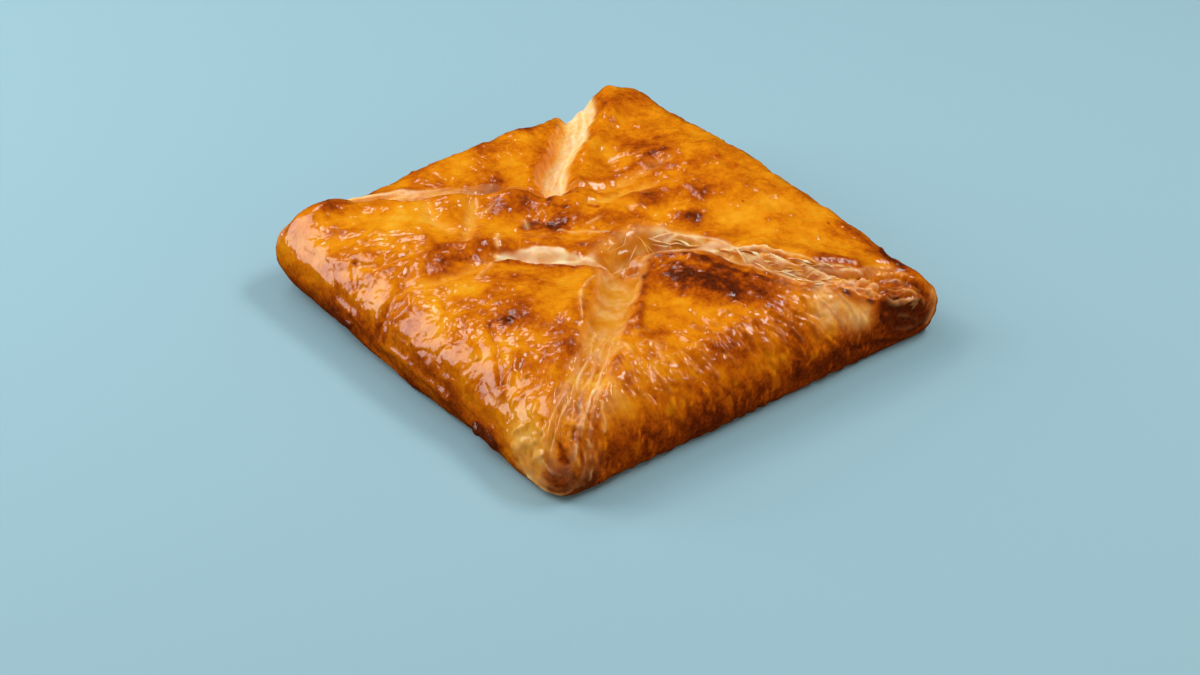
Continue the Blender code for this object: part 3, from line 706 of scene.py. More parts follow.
def across(path, x, y):
    """Distance from the path, how far along it (0 to 1), and the side (1 left, -1 right).

    Points far from the path are left out, with an endless distance.
    """
    near = (x > path[:, 0].min() - FAR_OFF) & (x < path[:, 0].max() + FAR_OFF)
    near &= (y > path[:, 1].min() - FAR_OFF) & (y < path[:, 1].max() + FAR_OFF)
    px = x[near]
    py = y[near]
    legs = np.diff(path, axis=0)
    lengths = np.hypot(legs[:, 0], legs[:, 1])
    before = np.concatenate([[0.0], np.cumsum(lengths)])
    best = np.full(px.shape, np.inf)
    side = np.zeros(px.shape)
    along = np.zeros(px.shape)
    for start, leg, length, done in zip(path[:-1], legs, lengths, before):
        dx = px - start[0]
        dy = py - start[1]
        t = np.clip((dx * leg[0] + dy * leg[1]) / length ** 2, 0.0, 1.0)
        gap = np.hypot(dx - t * leg[0], dy - t * leg[1])
        turn = (leg[0] * dy - leg[1] * dx) / (length * np.maximum(gap, 1e-6))
        nearer = gap < best
        best = np.where(nearer, gap, best)
        side = np.where(nearer, np.clip(turn, -1.0, 1.0), side)
        along = np.where(nearer, (done + t * length) / before[-1], along)
    found = []
    for values, blank in ((best, ENDLESS), (along, 0.0), (side, 0.0)):
        whole = np.full(x.shape, blank)
        whole[near] = values
        found.append(whole)
    return found


def strands_at(path, x, y, seed):
    """Torn leaf edges that run along a valley, 0 to 1."""
    gap, along, side = across(path, x, y)
    run = along * VALLEY_LENGTH
    offset = gap * side
    offset = offset + 0.9 * noise(run / 11.0, offset / 9.0, seed)
    broad = ridges(run / 20.0, offset / 3.0, seed)
    thin = ridges(run / 12.0, offset / 1.5, seed + 10.0)
    return np.clip(1.3 * broad + 0.7 * thin - 0.2, 0.0, 1.0)


def plain_looks(shape):
    """The looks of crust that has no torn leaf."""
    looks = {name: np.zeros(shape) for name in ("pale", "clear", "strands", "rough", "rims")}
    looks["crest"] = np.full(shape, PLAIN_CREST)
    return looks


def valley_form(form, gap, along, left):
    """Width of a valley's slopes, its depth with the steps of its leaves, and its lips."""
    slopes = [np.interp(along, (0.0, 1.0), form[name]) for name in ("left", "right")]
    width = between(slopes, left)
    depth = np.interp(along, (0.0, 1.0), form["depth"])
    fall = 1.0 - smoothstep((gap / width - form["flat"]) / (1.0 - form["flat"]))
    on_wall = 4.0 * fall * (1.0 - fall) * smoothstep((width - 4.0) / 4.0)
    leaves = LEAF_DEPTH * np.sin(2.0 * math.pi * (gap + 1.5 * np.sin(9.0 * along)) / LEAF_SPACING)
    lips = between(form["lips"], left) * band(gap - width, LIP_PLACE)
    return width, depth * fall + leaves * on_wall, lips


def add_leaf(looks, form, strands, x, y, gap, along, side, width):
    """Adds the torn leaf of a valley, and the browned rims beside it, to the looks."""
    rims = between(form["rims"], 0.5 + 0.5 * side) * band(gap - width, RIM_PLACE)
    looks["rims"] = np.maximum(looks["rims"], rims)
    softly = smoothstep(0.5 + gap * side / 6.0)
    tone, blur, cream = [between(form[name], softly) for name in ("pale", "blur", "cream")]
    edge = width + np.interp(along, (0.0, 0.25, 1.0), form["spread"])
    edge = edge + form["ragged"] * noise(x / 5.0, y / 5.0, 2.2)
    cover = smoothstep((edge - gap) / blur)
    pale = tone * np.interp(along, (0.0, 1.0), form["ends"]) * cover
    wins = pale > looks["pale"]
    glass = np.interp(along, (0.15, 0.6), form["clear"])
    if any(form["rough"]):
        torn = between(form["rough"][::-1], smoothstep((along - 0.45) / 0.25))
        looks["strands"] = np.where(wins, torn * strands * cover, looks["strands"])
        looks["rough"] = np.where(wins, torn * cover, looks["rough"])
        matt = 0.6 * torn * strands * (1.0 - 0.5 * glass)
        glass = np.clip(np.maximum(glass, 0.75 * torn) - matt, 0.0, 1.0)
        # Less pale and creamy between the strands: partly amber leaf beneath, partly painted shade in
        # the gaps.
        pale = pale * (1.0 - 0.25 * torn * (1.0 - strands))
        cream = cream + torn * (strands - 0.5)
    within = smoothstep(4.0 * cover)
    crest = PLAIN_CREST + (cream - PLAIN_CREST) * within
    looks["crest"] = np.where(wins, crest, looks["crest"])
    looks["clear"] = np.where(wins, glass * within, looks["clear"])
    looks["pale"] = np.maximum(looks["pale"], pale)


def stray(x, y, seed):
    """How far the edges of the valleys wander, slowly and with a fine wobble."""
    return 1.5 * noise(x / 8.0, y / 8.0, seed + 2.0) + 0.3 * noise(x / 2.6, y / 2.6, seed)


def cap(x, y, fine):
    """Height of the top before the sides round it off, and the looks of its valleys."""
    height = np.full(x.shape, BASE_TOP)
    for cx, cy, along, wide, turn, rise in DOMES:
        height += rise * oval(x - cx, y - cy, along, wide, turn)
    deepest = np.zeros(x.shape)
    looks = plain_looks(x.shape)
    strayed = (x + stray(x, y, 1.3), y + stray(x, y, 5.7)) if fine else (x, y)
    for number, form in enumerate(VALLEYS.values()):
        path = smooth_path(form["path"])
        gap, along, side = across(path, *strayed)
        width, sunk, lips = valley_form(form, gap, along, 0.5 + 0.5 * side)
        deepest = np.maximum(deepest, sunk)
        height += lips
        if fine:
            strands = strands_at(path, x, y, 7.0 * number)
            add_leaf(looks, form, strands, x, y, gap, along, side, width)
    px = (x - PIT["centre"][0]) / PIT["radii"][0]
    py = (y - PIT["centre"][1]) / PIT["radii"][1]
    pit = np.exp(-(px * px + py * py) ** 1.5)
    in_pit = smoothstep(pit * 2.0)
    looks["pale"] = np.maximum(looks["pale"], 0.6 * in_pit) * (1.0 - 0.25 * in_pit)
    looks["clear"] = np.maximum(looks["clear"], in_pit)
    looks["strands"] = looks["strands"] * (1.0 - in_pit)
    return height - deepest - PIT["depth"] * pit, looks


def creased(theta, radius, z, fine):
    """Outward rise and fall of the creases and of the rolled end, at height z."""
    depth = FINE_SCROLL_DEPTH if fine else SCROLL["depth"]
    total = np.zeros_like(theta)
    for side, crease in CREASES.items():
        turn = turn_from(theta, side)
        along = radius * np.sin(turn)
        wander = 1.6 * np.sin(0.09 * along + 0.21 * z) + 0.9 * np.sin(0.23 * along - 0.13 * z)
        wave = 2.0 * math.pi * (along / crease["along"] + z / crease["up"]) + wander
        uneven = 0.6 + 0.4 * np.sin(0.147 * along + 0.31 * z + 1.3)
        on_side = smoothstep((0.74 - np.abs(turn)) / 0.2)
        calm = WEST_CALM if fine and side == "west" else 1.0
        total += calm * crease["depth"] * uneven * on_side * np.sin(wave)
    end = np.degrees(turn_from(theta, "south_east")) * 1.9
    ring = np.hypot(end, z - SCROLL["height"])
    fade = np.exp(-((end / SCROLL["reach"]) ** 2))
    return total + depth * fade * np.cos(2.0 * math.pi * ring / SCROLL["spacing"])


def skin(theta, rho, low, fine=True):
    """Points of the crust at those directions and shares of the way out, with their looks.

    low picks the part under the widest line. up is the length along the crust from that line.
    """
    radius = outline_radius(theta)
    waist, foot, shoulder = roll_at(theta)
    extent = foot if low else shoulder
    arc = (foot + waist) * math.pi / 4 if low else shoulder * math.pi / 2
    path = HALF_SIDE - extent + arc
    run = rho * path
    turn = np.clip((path - run) / arc, 0.0, 1.0) * math.pi / 2
    inset = np.where(run > HALF_SIDE - extent, extent * (1.0 - np.cos(turn)), HALF_SIDE - run)
    share = 1.0 - inset / HALF_SIDE
    flat_x = MIDDLE_SHIFT[0] + share * radius * np.cos(theta)
    flat_y = MIDDLE_SHIFT[1] + share * radius * np.sin(theta)
    if low:
        z = waist * (1.0 - np.sin(turn))
        looks = plain_looks(z.shape)
    else:
        top, looks = cap(flat_x, flat_y, fine)
        z = waist + (top - waist) * np.sin(turn)
        for name in ("pale", "strands", "rough"):
            looks[name] = looks[name] * smoothstep(np.sin(turn) * 2.0)
    outwards = share * radius + creased(theta, radius, z, fine) * smoothstep((rho - 0.6) / 0.3)
    x = MIDDLE_SHIFT[0] + outwards * np.cos(theta)
    y = MIDDLE_SHIFT[1] + outwards * np.sin(theta)
    looks["radius"] = radius
    looks["up"] = (path - run) * (-1.0 if low else 1.0)
    return np.stack([x, y, z], -1), looks


def square_grid(cells):
    """Direction and share of the way out, for each point of a square grid."""
    line = np.linspace(-1.0, 1.0, cells + 1)
    u, v = np.meshgrid(line, line, indexing="ij")
    return np.arctan2(v, u), np.maximum(np.abs(u), np.abs(v))


def plan_middle():
    """Middle of the solid's box in the plan, worked out on the solid's own grid."""
    theta, rho = square_grid(SOLID_GRID)
    both = [skin(theta, rho, low, fine=False)[0].reshape(-1, 3) for low in (False, True)]
    points = np.vstack(both)
    return (points.min(0) + points.max(0))[:2] / 2


# The fine relief of the crust

def normals_of(points):
    """Unit normals of a grid of points, from the differences along its two directions."""
    n = np.cross(np.gradient(points, axis=0), np.gradient(points, axis=1))
    return n / np.maximum(np.linalg.norm(n, axis=-1), 1e-9)[..., None]


def blisters(points):
    """Small bubbles scattered over the crust."""
    spots = np.random.default_rng(SEEDS["blisters"])
    flat = points.reshape(-1, 3)
    rise = np.zeros(len(flat))
    for _ in range(BLISTERS["count"]):
        x, y = spots.uniform(-BLISTERS["out"], BLISTERS["out"], 2)
        r = spots.uniform(*BLISTERS["radius"])
        high = spots.uniform(*BLISTERS["rise"])
        near = (np.abs(flat[:, :2] - (x, y)) < 3.0 * r).all(1) & (flat[:, 2] > BLISTERS["above"])
        spot = flat[near]
        q = ((spot[:, 0] - x) ** 2 + (spot[:, 1] - y) ** 2) / r ** 2
        rise[near] += high * np.exp(-q)
    return rise.reshape(points.shape[:-1])


def drops(looks, theta):
    """Drop-shaped bubbles low on the south side, 0 to 1."""
    along = looks["radius"] * np.sin(turn_from(theta, "south"))
    up = looks["up"]
    on_side = smoothstep((0.76 - np.abs(turn_from(theta, "south"))) / 0.1)
    spots = np.random.default_rng(SEEDS["drops"])
    total = np.zeros_like(up)
    for _ in range(DROPS["count"]):
        at = spots.uniform(*DROPS["along"])
        height = spots.uniform(*DROPS["up"])
        wide = spots.uniform(*DROPS["wide"])
        tall = wide * spots.uniform(*DROPS["tall"])
        lean = spots.uniform(*DROPS["lean"])
        du = (along - at + lean * (up - height)) / wide
        dv = (up - height) / tall
        total = np.maximum(total, np.clip(1.0 - du * du - dv * dv, 0.0, 1.0) ** 0.7)
    return total * on_side


def placed(point):
    """A point of a stroke with its height: its own, or that of the crust at its place."""
    if len(point) == 3:
        return point
    x, y = map(float, point)
    theta = np.array(math.atan2(y - MIDDLE_SHIFT[1], x - MIDDLE_SHIFT[0]))
    waist, _, shoulder = roll_at(theta)
    share = math.hypot(x - MIDDLE_SHIFT[0], y - MIDDLE_SHIFT[1]) / outline_radius(theta)
    turned = np.clip((1.0 - share) * HALF_SIDE / shoulder, 0.0, 1.0)
    top = cap(np.array(x), np.array(y), fine=False)[0]
    return x, y, float(waist + (top - waist) * math.sqrt(1.0 - (1.0 - turned) ** 2))


def row_strokes():
    """The strokes of every row, each a little different in place, run and bend."""
    draw = np.random.default_rng(SEEDS["rows"])
    for count, first, step, run, *values in ROWS:
        for number in range(count):
            start = np.array(first) + number * np.array(step) + draw.normal(0.0, ROW_JITTER["place"], 2)
            way = np.array(run) * draw.uniform(*ROW_JITTER["length"])
            way = way + draw.normal(0.0, ROW_JITTER["end"], 2)
            bend = draw.normal(0.0, ROW_JITTER["bend"]) * np.array([-way[1], way[0]])
            yield *values, start, start + way / 2 + bend, start + way


def traced(points):
    """Rise, browning and paleness that the strokes add at each point, the grooves' browning partly
    painted shade.
    """
    flat = points.reshape(-1, 3)
    shift = []
    for lift in (0.0, 30.0, 60.0):
        shift.append(noise(*waves(flat, 4.5, lift)) + 0.4 * noise(*waves(flat, 1.8, lift)))
    shift = np.stack(shift, -1)
    patchy = 1.0 + DRAWING["patchy"] * noise(*waves(flat, 3.0, 5.0))
    total = np.zeros((3, len(flat)))
    for wide, rise, brown_and_shade, pale, *path in (*STROKES, *row_strokes()):
        path = np.array([placed(point) for point in path], float)
        if len(path) > 1:
            path = smooth_path(path, 4)
        reach = DRAWING["reach"][0] * wide + DRAWING["reach"][1]
        near = ((flat > path.min(0) - reach) & (flat < path.max(0) + reach)).all(1)
        if not near.any():
            continue
        q = flat[near] + shift[near] * (DRAWING["wander"][0] + DRAWING["wander"][1] * wide)
        best = ((q - path[0]) ** 2).sum(1)
        along = np.full(len(q), 0.5)
        for number, (start, leg) in enumerate(zip(path[:-1], np.diff(path, axis=0))):
            t = np.clip(((q - start) @ leg) / (leg @ leg), 0.0, 1.0)
            gap = ((q - start - t[:, None] * leg) ** 2).sum(1)
            along = np.where(gap <= best, (number + t) / (len(path) - 1), along)
            best = np.minimum(gap, best)
        thin = DRAWING["narrowing"] * min(max((3.0 - wide) / 1.5, 0.0), 1.0)
        taper = 1.0 - thin * (1.0 - np.sqrt(np.clip(4.0 * along * (1.0 - along), 0.0, 1.0)))
        share = np.exp(-best / (wide * taper) ** 2)
        total[:, near] += np.array([[rise], [brown_and_shade], [pale]]) * share
    total[1:] *= patchy
    return total.reshape((3,) + points.shape[:-1])


def wrinkles(theta, looks):
    """The fine wrinkles of the four sides, which fade out on the top and towards the foot."""
    up = looks["up"]
    on_roll = smoothstep((46.0 - up) / 22.0) * (0.25 + 0.75 * smoothstep((up + 7.0) / 8.0))
    total = np.zeros_like(up)
    for side, sets in WRINKLES.items():
        turn = turn_from(theta, side)
        on_side = smoothstep((0.80 - np.abs(turn)) / 0.16)
        along = looks["radius"] * np.sin(turn)
        bend = 2.5 * noise(along / 14.0, up / 11.0, FACING[side])
        lean = SOUTH_LEAN * up if side == "south" else 0.0
        for number, (length, tall, high) in enumerate(sets):
            seed = 4.0 * number + FACING[side]
            lines = ridges((along + bend + lean) / length, (up + bend) / tall, seed)
            patchy = np.clip(0.55 + 0.6 * noise(along / 17.0, up / 12.0, 20.0 + number), 0.0, 1.0)
            total += high * patchy * on_side * on_roll * (0.35 - lines) * 1.3
    return total


def relief(theta, points, looks):
    """Outward rise of the fine wrinkles, folds, blisters and torn leaves, in millimetres."""
    x, y = points[..., 0], points[..., 1]
    pale = looks["pale"]
    crusty = 1.0 - pale
    total = SLOW_WAVES["high"] * layered_noise(*waves(points, SLOW_WAVES["long"])) * (1.0 - 0.6 * pale)
    total = total + wrinkles(theta, looks)
    c, s = STREAKS["way"]
    streak = ridges((x * c + y * s) / STREAKS["apart"], (x * s - y * c) / STREAKS["long"], 8.0)
    on_top = smoothstep((looks["up"] - 14.0) / 18.0) * crusty
    patchy = np.clip(0.4 + 0.8 * noise(x / 20.0, y / 20.0, 31.0), 0.0, 1.0)
    total = total + STREAKS["high"] * patchy * on_top * (streak - 0.3)
    ripple = noise(*waves(points, GLAZE_RIPPLE["long"], 3.0))
    ripple = ripple + 0.5 * noise(*waves(points, GLAZE_RIPPLE["short"], 9.0))
    smooth_west = 1.0 - 0.75 * smoothstep((-x - 45.0) / 15.0)
    total = total + GLAZE_RIPPLE["high"] * smooth_west * ripple * (1.0 - 0.7 * pale)
    total = total + GRAIN["high"] * layered_noise(*waves(points, GRAIN["long"]), 2) * crusty
    total = total + blisters(points) * crusty + DROPS["rise"] * drops(looks, theta)
    frayed = TORN["fray"] * ridges(*waves(points, TORN["long"])) - TORN["sunk"]
    total = total + TORN["rise"] * looks["strands"] + frayed * looks["rough"]
    return total + looks["traced"][0]


def browning(points, looks, raised):
    """How far each point has browned, 0 pale gold to 1 burnt, plus painted shade low and in grooves."""
    x, y, z = np.moveaxis(points, -1, 0)
    on_top = smoothstep((z - 14.0) / 12.0)
    low = smoothstep((20.0 - z) / 14.0)
    clouds = layered_noise(*waves(points, 15.0), 3, 0.6)
    shares = {
        "plain": 1.0,
        "clouds": clouds,
        "clouds_on_top": clouds * on_top,
        "mottles": layered_noise(*waves(points, 3.4), 3, 0.7),
        "raised": np.clip(raised, -1.0, 1.0),
        "rims": looks["rims"] * on_top,
        # Darker on the low south side and on all low sides: partly deeper browning, partly painted
        # shade.
        "south_side": smoothstep((-y - 76.0) / 8.0) * smoothstep((20.0 - z) / 10.0),
        "low": low,
        "low_west": smoothstep((-x - 60.0) / 10.0) * low,
        "foot": smoothstep((1.6 - z) / 1.6),
        "pale": looks["pale"],
    }
    brown_and_shade = looks["darker"] + sum(BROWNING_AND_SHADE[name] * share for name, share in shares.items())
    for cx, cy, along, wide, turn, more in PATCHES:
        dx = x - cx + 2.0 * noise(x / 6.0, y / 6.0, cx)
        dy = y - cy + 2.0 * noise(x / 6.0, y / 6.0, cy)
        brown_and_shade = brown_and_shade + more * oval(dx, dy, along, wide, turn)
    return np.clip(brown_and_shade, *BROWN_AND_SHADE_LIMITS)


def soft_limit(points, low, high, ease=0.25):
    """Points kept inside a box, eased in over its last fraction of a millimetre."""
    for axis in range(3):
        v = points[..., axis]
        v = high[axis] - ease * np.logaddexp(0.0, (high[axis] - v) / ease)
        points[..., axis] = v
    for axis in range(2):
        v = points[..., axis]
        v = low[axis] + ease * np.logaddexp(0.0, (v - low[axis]) / ease)
        points[..., axis] = v
    points[..., 2] = np.maximum(points[..., 2], low[2])
    return points


def dressed(theta, rho, low):
    """Points of the fine crust, and its looks as arrays."""
    points, looks = skin(theta, rho, low)
    facing = normals_of(points)
    if low:
        facing = -facing
    looks["traced"] = traced(points)
    rise = relief(theta, points, looks)
    looks["darker"] = DROPS["brown_and_shade"] * drops(looks, theta) + looks["traced"][1]
    if low:
        rise = rise * smoothstep(points[..., 2] / FOOT_FADE)
    paler = looks["traced"][2]
    looks["pale"] = np.clip(looks["pale"] + paler * (1.0 - looks["pale"]), 0.0, 1.0)
    looks["crest"] = np.clip(looks["crest"] + STROKE_CREAM * paler, 0.0, 1.0)
    looks["brown_and_shade"] = browning(points, looks, rise)
    return points + facing * rise[..., None], looks


def add_object(name, data):
    made = bpy.data.objects.new(name, data)
    bpy.context.scene.collection.objects.link(made)
    return made


def add_mesh(name, points, faces, looks):
    """A smooth mesh in the row frame from points in millimetres, with its looks at each point."""
    mesh = bpy.data.meshes.new(name)
    mesh.from_pydata((points * MM).tolist(), [], faces)
    mesh.validate()
    for look, values in looks.items():
        layer = mesh.attributes.new(look, "FLOAT", "POINT")
        layer.data.foreach_set("value", values.astype(np.float32))
    mesh.shade_smooth()
    return add_object(name, mesh)


def add_crust(middle):
    """The whole crust as one closed mesh, with its browning and painted shade, paleness, clearness and
    cream.
    """
    theta, rho = square_grid(SKIN_CELLS)
    top, top_looks = dressed(theta, rho, low=False)
    side = SKIN_CELLS + 1
    index = np.arange(side * side).reshape(side, side)
    loop = np.concatenate([index[:-1, 0], index[-1, :-1], index[:0:-1, -1], index[0, :0:-1]])
    step = (1.0 - LOW_INNER) / LOW_RINGS
    ring_rho = np.concatenate([1.0 - step * np.arange(LOW_RINGS), [LOW_INNER, *FOOT_RINGS]])
    ring_theta = np.repeat(theta.ravel()[loop][:, None], len(ring_rho), 1)
    low, low_looks = dressed(ring_theta, np.repeat(ring_rho[None], len(loop), 0), low=True)
    rings = low.shape[1] - 1
    points = np.vstack([top.reshape(-1, 3), low[:, 1:].reshape(-1, 3), [[0.0, 0.0, 0.0]]])
    looks = {
        name: np.concatenate([top_looks[name].ravel(), low_looks[name][:, 1:].ravel(), [0.0]])
        for name in ("brown_and_shade", "pale", "clear", "crest")
    }
    looks["brown_and_shade"][-1] = looks["brown_and_shade"][-2]
    points[:, :2] -= middle
    box_low = [v / MM + BOX_MARGIN for v in cad_box[0][:2]] + [0.0]
    box_high = [v / MM - BOX_MARGIN for v in cad_box[1]]
    points = soft_limit(points, box_low, box_high)
    ring_index = side * side + np.arange(len(loop) * rings).reshape(len(loop), rings)
    ring_index = np.hstack([loop[:, None], ring_index])
    after = np.roll(ring_index, -1, axis=0)
    top_faces = [index[:-1, :-1], index[1:, :-1], index[1:, 1:], index[:-1, 1:]]
    low_faces = [ring_index[:, :-1], ring_index[:, 1:], after[:, 1:], after[:, :-1]]
    faces = [np.stack(corners, -1).reshape(-1, 4) for corners in (top_faces, low_faces)]
    faces = np.vstack(faces).tolist()
    last = len(points) - 1
    faces += [[a, last, b] for a, b in zip(ring_index[:, -1].tolist(), after[:, -1].tolist())]
    return add_mesh("crust", points, faces, looks)


# Threads and flakes of loose leaf

def ribbon(points, form, draw, count):
    """Points and faces of a closed strip along a smooth path of count steps, tapered to its ends."""
    wide = draw.uniform(*form["wide"])
    sway = draw.uniform(*form["sway"])
    path = smooth_path(points, max(3, count // (len(points) - 1)))
    share = np.linspace(0.0, 1.0, len(path))
    ahead = np.gradient(path, axis=0)
    ahead /= np.linalg.norm(ahead, axis=1)[:, None]
    out = np.cross(ahead, [0.0, 0.0, 1.0])
    out /= np.maximum(np.linalg.norm(out, axis=1), 1e-6)[:, None]
    over = np.cross(out, ahead)
    taper = np.maximum(np.sin(math.pi * share) ** 0.6, 0.04)[:, None]
    roll = sway * np.sin(2.0 * math.pi * share + sway)[:, None]
    flat = taper * wide / 2 * (out * np.cos(roll) + over * np.sin(roll))
    rise = taper * form["thick"] / 2 * (over * np.cos(roll) - out * np.sin(roll))
    angles = np.arange(RIBBON_SIDES) * 2.0 * math.pi / RIBBON_SIDES
    ring = np.stack([path + flat * math.cos(turn) + rise * math.sin(turn) for turn in angles], 1)
    index = np.arange(len(path) * RIBBON_SIDES).reshape(len(path), RIBBON_SIDES)
    after = np.roll(index, -1, axis=1)
    faces = np.stack([index[:-1], after[:-1], after[1:], index[1:]], -1).reshape(-1, 4).tolist()
    faces += [index[0][::-1].tolist(), index[-1].tolist()]
    return ring.reshape(-1, 3), faces


def thread_ribbons(draw):
    """Threads of pulled leaf that hang across the sunk middle."""
    for *ends, high in THREADS:
        start, end = [placed(place) + np.array([0.0, 0.0, THREAD["above"]]) for place in ends]
        hang = np.array([*draw.normal(0.0, THREAD["stray"], 2), high])
        path = [start, between((start, end), 0.6) + hang, between((start, end), 0.25) + hang / 2, end]
        yield ribbon(path, THREAD, draw, 18)


def flake_ribbons(draw):
    """Loose flakes that lie along the slopes of one valley, arched a little."""
    form = VALLEYS[FLAKES["valley"]]
    path = smooth_path(form["path"])
    last = len(path) - 1
    for _ in range(FLAKES["count"]):
        share = draw.uniform(*FLAKES["along"])
        spot = share * last
        first = int(spot)
        after = path[min(first + 1, last)]
        run = after - path[max(first - 1, 0)]
        run = run / np.hypot(*run)
        left = np.array([-run[1], run[0]])
        slopes = [FLAKES["across"] * np.interp(share, (0, 1), form[name]) for name in ("left", "right")]
        middle = path[first] + (after - path[first]) * (spot - first)
        middle = middle + left * draw.uniform(-slopes[1], slopes[0])
        turn = draw.normal(0.0, FLAKES["turn"])
        way = run * math.cos(turn) + left * math.sin(turn)
        long = draw.uniform(*FLAKES["long"])
        arch = draw.uniform(*FLAKES["arch"])
        strip = []
        for step, lift in ((-0.5, 0.5), (0.0, arch), (0.5, 0.6)):
            strip.append(placed(middle + way * long * step) + np.array([0.0, 0.0, lift]))
        yield ribbon(strip, FLAKES, draw, 10)


def add_shreds(middle):
    """The threads and the flakes as one piece, each with its own tone."""
    draw = np.random.default_rng(SEEDS["loose_leaves"])
    pieces = [*thread_ribbons(draw), *flake_ribbons(draw)]
    points = np.vstack([ring for ring, _ in pieces])
    points[:, :2] -= middle
    faces = []
    start = 0
    for ring, own_faces in pieces:
        faces += [[start + corner for corner in face] for face in own_faces]
        start += len(ring)
    tones = draw.uniform(*LOOSE_TONES, len(pieces))
    tones[:len(THREADS)] -= THREAD_DARKER
    tone = np.repeat(tones, [len(ring) for ring, _ in pieces])
    return add_mesh("loose_leaves", points, faces, {"tone": tone})


# Materials

def set_inputs(made, values):
    """Gives sockets their constant values, by name."""
    for name, value in values.items():
        made.inputs[name].default_value = value


def node(tree, kind, **values):
    made = tree.nodes.new(kind)
    for name, value in values.items():
        setattr(made, name, value)
    return made


def mapped(tree, source, inside, to):
    """The source's value, moved from one range to another and held inside it."""
    made = node(tree, "ShaderNodeMapRange")
    set_inputs(made, {"From Min": inside[0], "From Max": inside[1], "To Min": to[0], "To Max": to[1]})
    tree.links.new(source, made.inputs["Value"])
    return made.outputs["Result"]


def added(tree, first, second, operation="ADD"):
    made = node(tree, "ShaderNodeMath", operation=operation)
    tree.links.new(first, made.inputs[0])
    tree.links.new(second, made.inputs[1])
    return made.outputs[0]


def mixed(tree, share, first, second):
    made = node(tree, "ShaderNodeMix", data_type="RGBA")
    for name, source in (("Factor", share), ("A", first), ("B", second)):
        tree.links.new(source, made.inputs[name])
    return made.outputs["Result"]


def speckles(tree, scale, detail, roughness=0.6):
    """Noise in the object's own space, with that many waves to a metre."""
    made = node(tree, "ShaderNodeTexNoise")
    set_inputs(made, {"Scale": scale, "Detail": detail, "Roughness": roughness})
    place = node(tree, "ShaderNodeTexCoord").outputs["Object"]
    tree.links.new(place, made.inputs["Vector"])
    return made.outputs["Fac"]


def coloured(tree, source, stops):
    """The source's value as a colour between the stops."""
    made = node(tree, "ShaderNodeValToRGB")
    elements = made.color_ramp.elements
    while len(elements) < len(stops):
        elements.new(0.5)
    for element, (place, colour) in zip(elements, stops):
        element.position = place
        element.color = (*colour, 1.0)
    tree.links.new(source, made.inputs["Fac"])
    return made.outputs["Color"]


def bumped(tree, height, strength, distance):
    """A normal for fine roughness of that height, in metres."""
    made = node(tree, "ShaderNodeBump")
    set_inputs(made, {"Strength": strength, "Distance": distance})
    tree.links.new(height, made.inputs["Height"])
    return made.outputs["Normal"]


def attribute(tree, name):
    return node(tree, "ShaderNodeAttribute", attribute_name=name).outputs["Fac"]


def new_material(name, values):
    """A material with those constant values, its nodes and its shader."""
    material = bpy.data.materials.new(name)
    material.use_nodes = True
    shader = material.node_tree.nodes["Principled BSDF"]
    set_inputs(shader, values)
    return material, material.node_tree, shader


def crust_material():
    """Glazed crust by its browning and painted shade, with pale torn leaves and clear, glassy ones."""
    material, tree, shader = new_material("glazed_crust", {
        "Metallic": 0.0,
        "Subsurface Radius": (1.0, 0.30, 0.08),
        "Subsurface Scale": 0.004,
        "Coat Roughness": 0.05,
        "Coat IOR": 1.5,
        "Specular IOR Level": 0.0,
    })
    brown_and_shade, pale, clear, crest = [attribute(tree, name) for name in ("brown_and_shade", "pale", "clear", "crest")]

    # Colour: the baked crust is grainier where it is browner and where painted shade darkens it.
    grains = mapped(tree, speckles(tree, 800.0, 5.0, 0.7), (0.25, 0.75), (-1.0, 1.0))
    strength = mapped(tree, brown_and_shade, BAKED_RANGE, (0.06, 0.13))
    baked = coloured(tree, added(tree, brown_and_shade, added(tree, grains, strength, "MULTIPLY")), BAKED_COLOURS)
    cloud = mapped(tree, speckles(tree, 420.0, 5.0), (0.25, 0.75), (-0.25, 0.25))
    leaf = coloured(tree, added(tree, crest, cloud), LEAF_COLOURS)
    glass = coloured(tree, speckles(tree, 100.0, 5.0), GLASS_COLOURS)

    # Gloss: torn leaf that isn't glassy is dry, with hardly any glaze on it.
    dry = added(tree, pale, mapped(tree, clear, (0.0, 1.0), (1.0, 0.15)), "MULTIPLY")

    # Fine roughness: pits where the crust is brown, and slow waves in the glaze.
    depth = mapped(tree, brown_and_shade, BAKED_RANGE, (0.15, 1.0))
    pits = added(tree, speckles(tree, 1500.0, 2.0), depth, "MULTIPLY")
    wet = speckles(tree, 430.0, 1.5)
    rough_wet = added(tree, added(tree, wet, mapped(tree, pits, (0.0, 1.0), (0.0, 0.6))), wet, "MAXIMUM")
    sources = {
        "Base Color": mixed(tree, pale, baked, mixed(tree, clear, leaf, glass)),
        "Roughness": mapped(tree, dry, (0.1, 0.8), (0.36, 0.62)),
        "Coat Weight": mapped(tree, dry, (0.15, 0.75), (0.85, 0.10)),
        "Subsurface Weight": mapped(tree, pale, (0.0, 1.0), (0.15, 0.55)),
        "Normal": bumped(tree, pits, 0.55, 0.00022),
        "Coat Normal": bumped(tree, rough_wet, 0.45, 0.00030),
    }
    for name, source in sources.items():
        tree.links.new(source, shader.inputs[name])
    return material


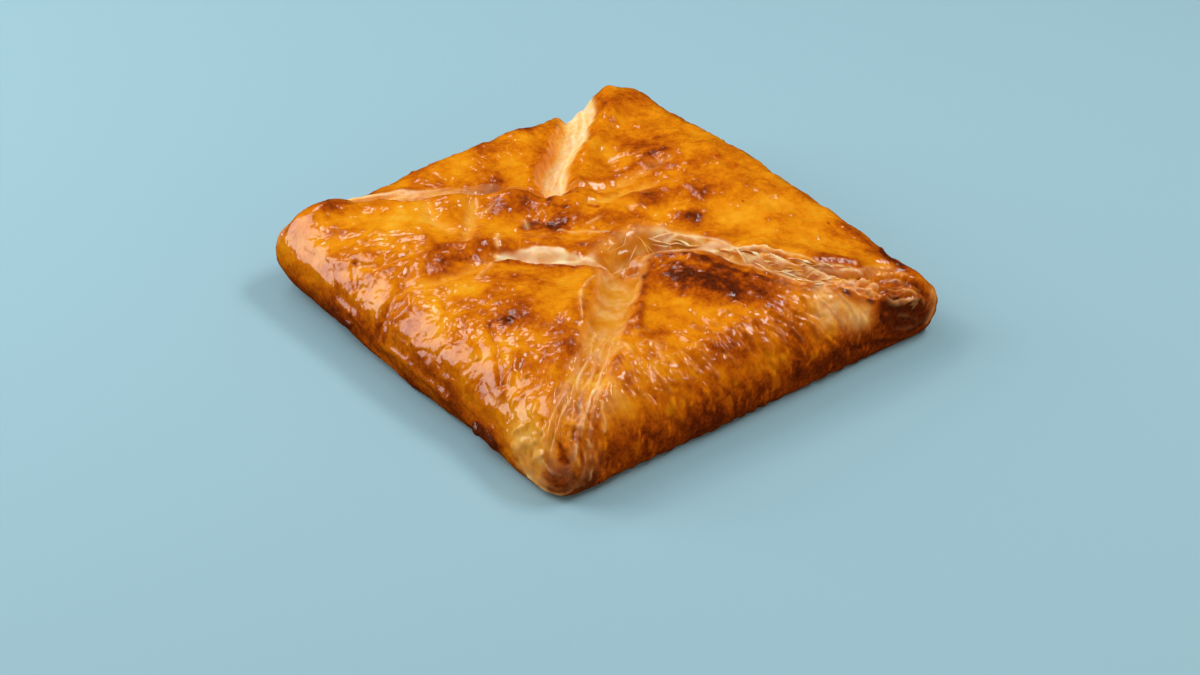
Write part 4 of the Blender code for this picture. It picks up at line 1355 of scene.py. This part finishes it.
def leaf_material():
    """Thin, glassy leaf from amber to cream, by each flake's own tone."""
    material, tree, shader = new_material("thin_leaf", {
        "Roughness": 0.38,
        "Coat Weight": 0.5,
        "Coat Roughness": 0.1,
        "Subsurface Weight": 0.5,
        "Subsurface Radius": (1.0, 0.4, 0.12),
        "Subsurface Scale": 0.001,
    })
    cloud = mapped(tree, speckles(tree, 700.0, 3.0), (0.3, 0.7), (-0.3, 0.3))
    colour = coloured(tree, added(tree, attribute(tree, "tone"), cloud), LOOSE_COLOURS)
    tree.links.new(colour, shader.inputs["Base Color"])
    return material


# Floor, light and camera

def add_floor():
    mesh = bpy.data.meshes.new("floor")
    corners = [(x * FLOOR_REACH, y * FLOOR_REACH, 0.0) for x, y in ((-1, -1), (1, -1), (1, 1), (-1, 1))]
    mesh.from_pydata(corners, [], [(0, 1, 2, 3)])
    floor = add_object("floor", mesh)
    mesh.materials.append(new_material("pale_floor", {"Base Color": FLOOR_COLOUR, "Roughness": 0.8})[0])
    floor.visible_glossy = False
    floor.visible_diffuse = False


def add_lights():
    for name, (direction, distance, size, power, colour) in LIGHTS.items():
        data = bpy.data.lights.new(name, "AREA")
        data.shape = "RECTANGLE"
        data.size, data.size_y = size
        data.energy = power
        data.color = colour
        light = add_object(name, data)
        toward = Vector(direction).normalized()
        light.location = toward * distance
        light.rotation_euler = toward.to_track_quat("Z", "Y").to_euler()
        light.visible_glossy = name not in UNSEEN_IN_GLAZE


def add_sky():
    world = bpy.data.worlds.new("studio")
    world.use_nodes = True
    set_inputs(world.node_tree.nodes["Background"], {"Color": SKY_COLOUR, "Strength": SKY_STRENGTH})
    world.cycles_visibility.glossy = False
    bpy.context.scene.world = world


def add_camera(middle):
    data = bpy.data.cameras.new("camera")
    data.lens = CAMERA_LENS
    data.sensor_width = SENSOR_WIDTH
    camera = add_object("camera", data)
    place = np.array(CAMERA_PLACE) - [middle[0], middle[1], 0.0]
    camera.location = (place * MM).tolist()
    camera.rotation_euler = Vector(CAMERA_LOOK).to_track_quat("-Z", "Y").to_euler()
    bpy.context.scene.camera = camera


def main():
    middle = plan_middle()
    crust = add_crust(middle)
    crust.data.materials.append(crust_material())
    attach(crust, "root")
    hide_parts("pastry")
    shreds = add_shreds(middle)
    shreds.data.materials.append(leaf_material())
    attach(shreds, "root")
    add_floor()
    add_lights()
    add_sky()
    add_camera(middle)
    bpy.context.scene.view_settings.view_transform = "Standard"


main()
